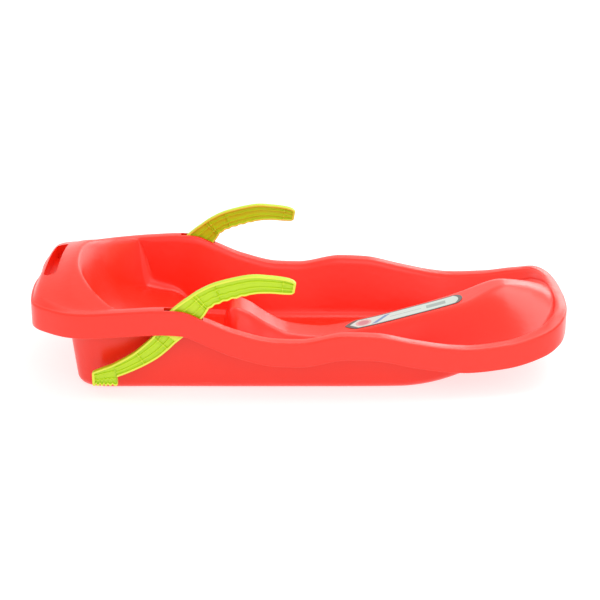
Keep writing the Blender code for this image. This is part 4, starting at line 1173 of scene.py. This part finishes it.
def make_label(colours):
    """The film on the spine, with its corners rounded and its edge following the crown."""
    finish = printed_film(colours)
    steps = 160
    columns = 14
    half_width = 0.5 * (LABEL_HIGH.y - LABEL_LOW.y)
    shares = np.linspace(0, 1, steps + 1)
    rear = np.minimum(shares / LABEL_TAPER, 1.0) ** LABEL_TAPER_POWER
    round_part = np.maximum((shares - 1 + LABEL_ROUNDING) / LABEL_ROUNDING, 0.0)
    front = np.sqrt(np.maximum(1 - round_part ** 2, 0.0))
    half = half_width * np.maximum(np.minimum(rear, front), LABEL_TIP)
    x = LABEL_LOW.x + (LABEL_HIGH.x - LABEL_LOW.x) * shares
    across = np.linspace(-1, 1, columns + 1)
    grid_x = np.repeat(x[:, None], columns + 1, axis=1)
    grid_y = half[:, None] * across[None, :]
    surface = floor_top(grid_x, grid_y)
    top = np.stack([grid_x, grid_y, surface + GAP + LABEL_FILM], axis=-1).reshape(-1, 3)
    under = np.stack([grid_x, grid_y, surface + GAP], axis=-1).reshape(-1, 3)
    number = np.arange(len(top)).reshape(steps + 1, columns + 1)
    quads = grid_faces(number)
    loop = np.concatenate([number[:, 0], number[-1, 1:], number[-2::-1, -1], number[0, -2:0:-1]])
    following = np.roll(loop, -1)
    rim = np.column_stack([loop, loop + len(top), following + len(top), following])
    faces = np.vstack([quads, quads[:, ::-1] + len(top), rim])
    mesh_data = outward_mesh("label_film", np.vstack([top, under]).tolist(), faces.tolist())
    label = add_object("label_sheet", mesh_data, finish)
    shade(mesh_data, LABEL_CREASE)
    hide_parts("label")
    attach(label, "sled")


def area_light(name, place, target, size, power):
    light = bpy.data.lights.new(name, "AREA")
    light.shape = "RECTANGLE"
    light.size = size[0]
    light.size_y = size[1]
    light.energy = power
    lamp = bpy.data.objects.new(name, light)
    lamp.location = place
    lamp.rotation_euler = (Vector(target) - Vector(place)).to_track_quat("-Z", "Y").to_euler()
    bpy.context.scene.collection.objects.link(lamp)


def make_stage(sizes, colours):
    finish = light_table(sizes, colours)
    form = bmesh.new()
    bmesh.ops.create_grid(form, x_segments=2, y_segments=2, size=FLOOR_REACH)
    bmesh.ops.translate(form, verts=form.verts, vec=(0.0, 0.0, -FLOOR_DROP))
    mesh_data = bpy.data.meshes.new("studio_floor")
    form.to_mesh(mesh_data)
    form.free()
    floor = add_object("studio_floor", mesh_data, finish)
    world = bpy.data.worlds.new("studio")
    bpy.context.scene.world = world
    bpy.context.scene.view_settings.view_transform = "Standard"
    world.use_nodes = True
    background = world.node_tree.nodes["Background"]
    background.inputs["Color"].default_value = ROOM_TINT
    background.inputs["Strength"].default_value = sizes.room_light
    for name, place, target, size, power in SOFTBOXES:
        area_light(name, place, target, size, power * sizes.lamp_power)

    data = bpy.data.cameras.new("photo_camera")
    camera = bpy.data.objects.new("photo_camera", data)
    bpy.context.scene.collection.objects.link(camera)
    data.sensor_width = SENSOR
    data.lens = FOCAL_PIXELS / PHOTO_SIZE * SENSOR
    data.shift_x = (PHOTO_SIZE / 2 - CENTRE_PIXEL_X) / PHOTO_SIZE
    view = Vector((0.0, math.cos(CAMERA_ELEVATION), -math.sin(CAMERA_ELEVATION)))
    camera.location = CAMERA_TARGET - view * CAMERA_DISTANCE
    camera.rotation_euler = view.to_track_quat("-Z", "Y").to_euler()
    bpy.context.scene.camera = camera


class SledSizes(bpy.types.PropertyGroup):
    """Sizes of the fine surfaces."""

    hull_rows: IntProperty(name="Hull rows", description="Rows of points along the hull", default=230, min=40)
    hull_columns: IntProperty(name="Hull columns", description="Points across the hull", default=90, min=20)
    rim_edge_radius: FloatProperty(name="Rim edge radius", description="Rounding of the rim's outer edge",
                                   default=0.0036, unit="LENGTH")
    rim_inner_radius: FloatProperty(name="Rim inner radius", description="Rounding of the rim's inner edge",
                                    default=0.0034, unit="LENGTH")
    rim_crown: FloatProperty(name="Rim crown", description="How far the rim band bulges up", default=0.0005,
                             unit="LENGTH")
    skirt_lip_radius: FloatProperty(name="Skirt lip", description="Rounding of the skirt's lower edge",
                                    default=0.0014, unit="LENGTH")
    floor_fillet: FloatProperty(name="Floor fillet", description="Rounding where the floor meets the walls",
                                default=0.009, unit="LENGTH")
    back_fillet: FloatProperty(name="Back fillet", default=0.007, unit="LENGTH",
                               description="Extra rounding where the back meets the walls")
    room_light: FloatProperty(name="Room light", description="Brightness of the white studio", default=0.95)
    floor_glow: FloatProperty(name="Floor glow", description="Brightness of the light table", default=0.70)
    lamp_power: FloatProperty(name="Lamp power", description="Power of the softboxes", default=1.0)


class SledColours(bpy.types.PropertyGroup):
    """Colours of the finishes, as sRGB hex values."""

    hull: StringProperty(name="Hull", description="Moulded hull", default="#F5280B")
    hull_deep: StringProperty(name="Hull, deep", description="Where the pigment is denser", default="#EE2108")
    hull_scuff: StringProperty(name="Hull, scuffed", description="Scuffed runners", default="#F4725F")
    lever: StringProperty(name="Levers", description="Moulded levers", default="#C4E01A")
    lever_deep: StringProperty(name="Levers, deep", description="Denser pigment", default="#B4D40E")
    # Paler colour for the levers' raised edges: a painted highlight
    lever_edge_highlight: StringProperty(name="Lever edges", description="Painted highlight on raised edges", default="#E0E54A")
    pin: StringProperty(name="Pins", description="Drawn steel", default="#C8CACC")
    label_field: StringProperty(name="Label field", description="Film's pale field", default="#C6CDCB")
    label_field_far: StringProperty(name="Label field, front", description="Field near the nose",
                                    default="#BCC9C3")
    label_border: StringProperty(name="Label border", description="Film's border", default="#55504F")
    label_ring: StringProperty(name="Label ring", description="Round mark's ring", default="#CE9C9C")
    label_disc: StringProperty(name="Label disc", description="Round mark's middle", default="#C27783")
    label_band: StringProperty(name="Label band", description="Slanted bar", default="#6C88B4")
    label_panel: StringProperty(name="Label panel", description="Quiet panel", default="#93A09D")
    floor: StringProperty(name="Floor", description="Opal acrylic", default="#B4B6B6")
    floor_deep: StringProperty(name="Floor clouds", description="Opal acrylic, dimmer", default="#AEB0B0")


def settings():
    scene = bpy.context.scene
    return scene.sled_sizes, scene.sled_colours


class SLED_OT_hull(bpy.types.Operator):
    """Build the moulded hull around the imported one"""
    bl_idname = "sled.hull"
    bl_label = "Hull"

    def execute(self, context):
        make_hull(*settings())
        return {"FINISHED"}


class SLED_OT_levers(bpy.types.Operator):
    """Build both hand brake levers"""
    bl_idname = "sled.levers"
    bl_label = "Brake levers"

    def execute(self, context):
        make_levers(settings()[1])
        return {"FINISHED"}


class SLED_OT_pins(bpy.types.Operator):
    """Finish both pivot pins"""
    bl_idname = "sled.pins"
    bl_label = "Pivot pins"

    def execute(self, context):
        make_pins(settings()[1])
        return {"FINISHED"}


class SLED_OT_label(bpy.types.Operator):
    """Build the label on the spine"""
    bl_idname = "sled.label"
    bl_label = "Label"

    def execute(self, context):
        make_label(settings()[1])
        return {"FINISHED"}


class SLED_OT_stage(bpy.types.Operator):
    """Set the studio floor, the lights and the camera"""
    bl_idname = "sled.stage"
    bl_label = "Stage"

    def execute(self, context):
        make_stage(*settings())
        return {"FINISHED"}


class SLED_PT_panel(bpy.types.Panel):
    """Lists the sled's pieces in the sidebar"""
    bl_label = "Bob Sled"
    bl_idname = "SLED_PT_panel"
    bl_space_type = "VIEW_3D"
    bl_region_type = "UI"
    bl_category = "Bob Sled"

    def draw(self, context):
        for operator in OPERATORS:
            self.layout.operator(operator.bl_idname)
        for group in (context.scene.sled_sizes, context.scene.sled_colours):
            for name in group.bl_rna.properties.keys():
                if name not in ("rna_type", "name"):
                    self.layout.prop(group, name)


OPERATORS = (SLED_OT_stage, SLED_OT_hull, SLED_OT_levers, SLED_OT_pins, SLED_OT_label)
CLASSES = (SledSizes, SledColours) + OPERATORS + (SLED_PT_panel,)


def register():
    for item in CLASSES:
        bpy.utils.register_class(item)
    bpy.types.Scene.sled_sizes = PointerProperty(type=SledSizes)
    bpy.types.Scene.sled_colours = PointerProperty(type=SledColours)


def unregister():
    del bpy.types.Scene.sled_colours
    del bpy.types.Scene.sled_sizes
    for item in reversed(CLASSES):
        bpy.utils.unregister_class(item)


def main():
    register()
    bpy.ops.sled.stage()
    bpy.ops.sled.hull()
    bpy.ops.sled.levers()
    bpy.ops.sled.pins()
    bpy.ops.sled.label()
    bpy.context.view_layer.update()


if __name__ == "__main__":
    main()
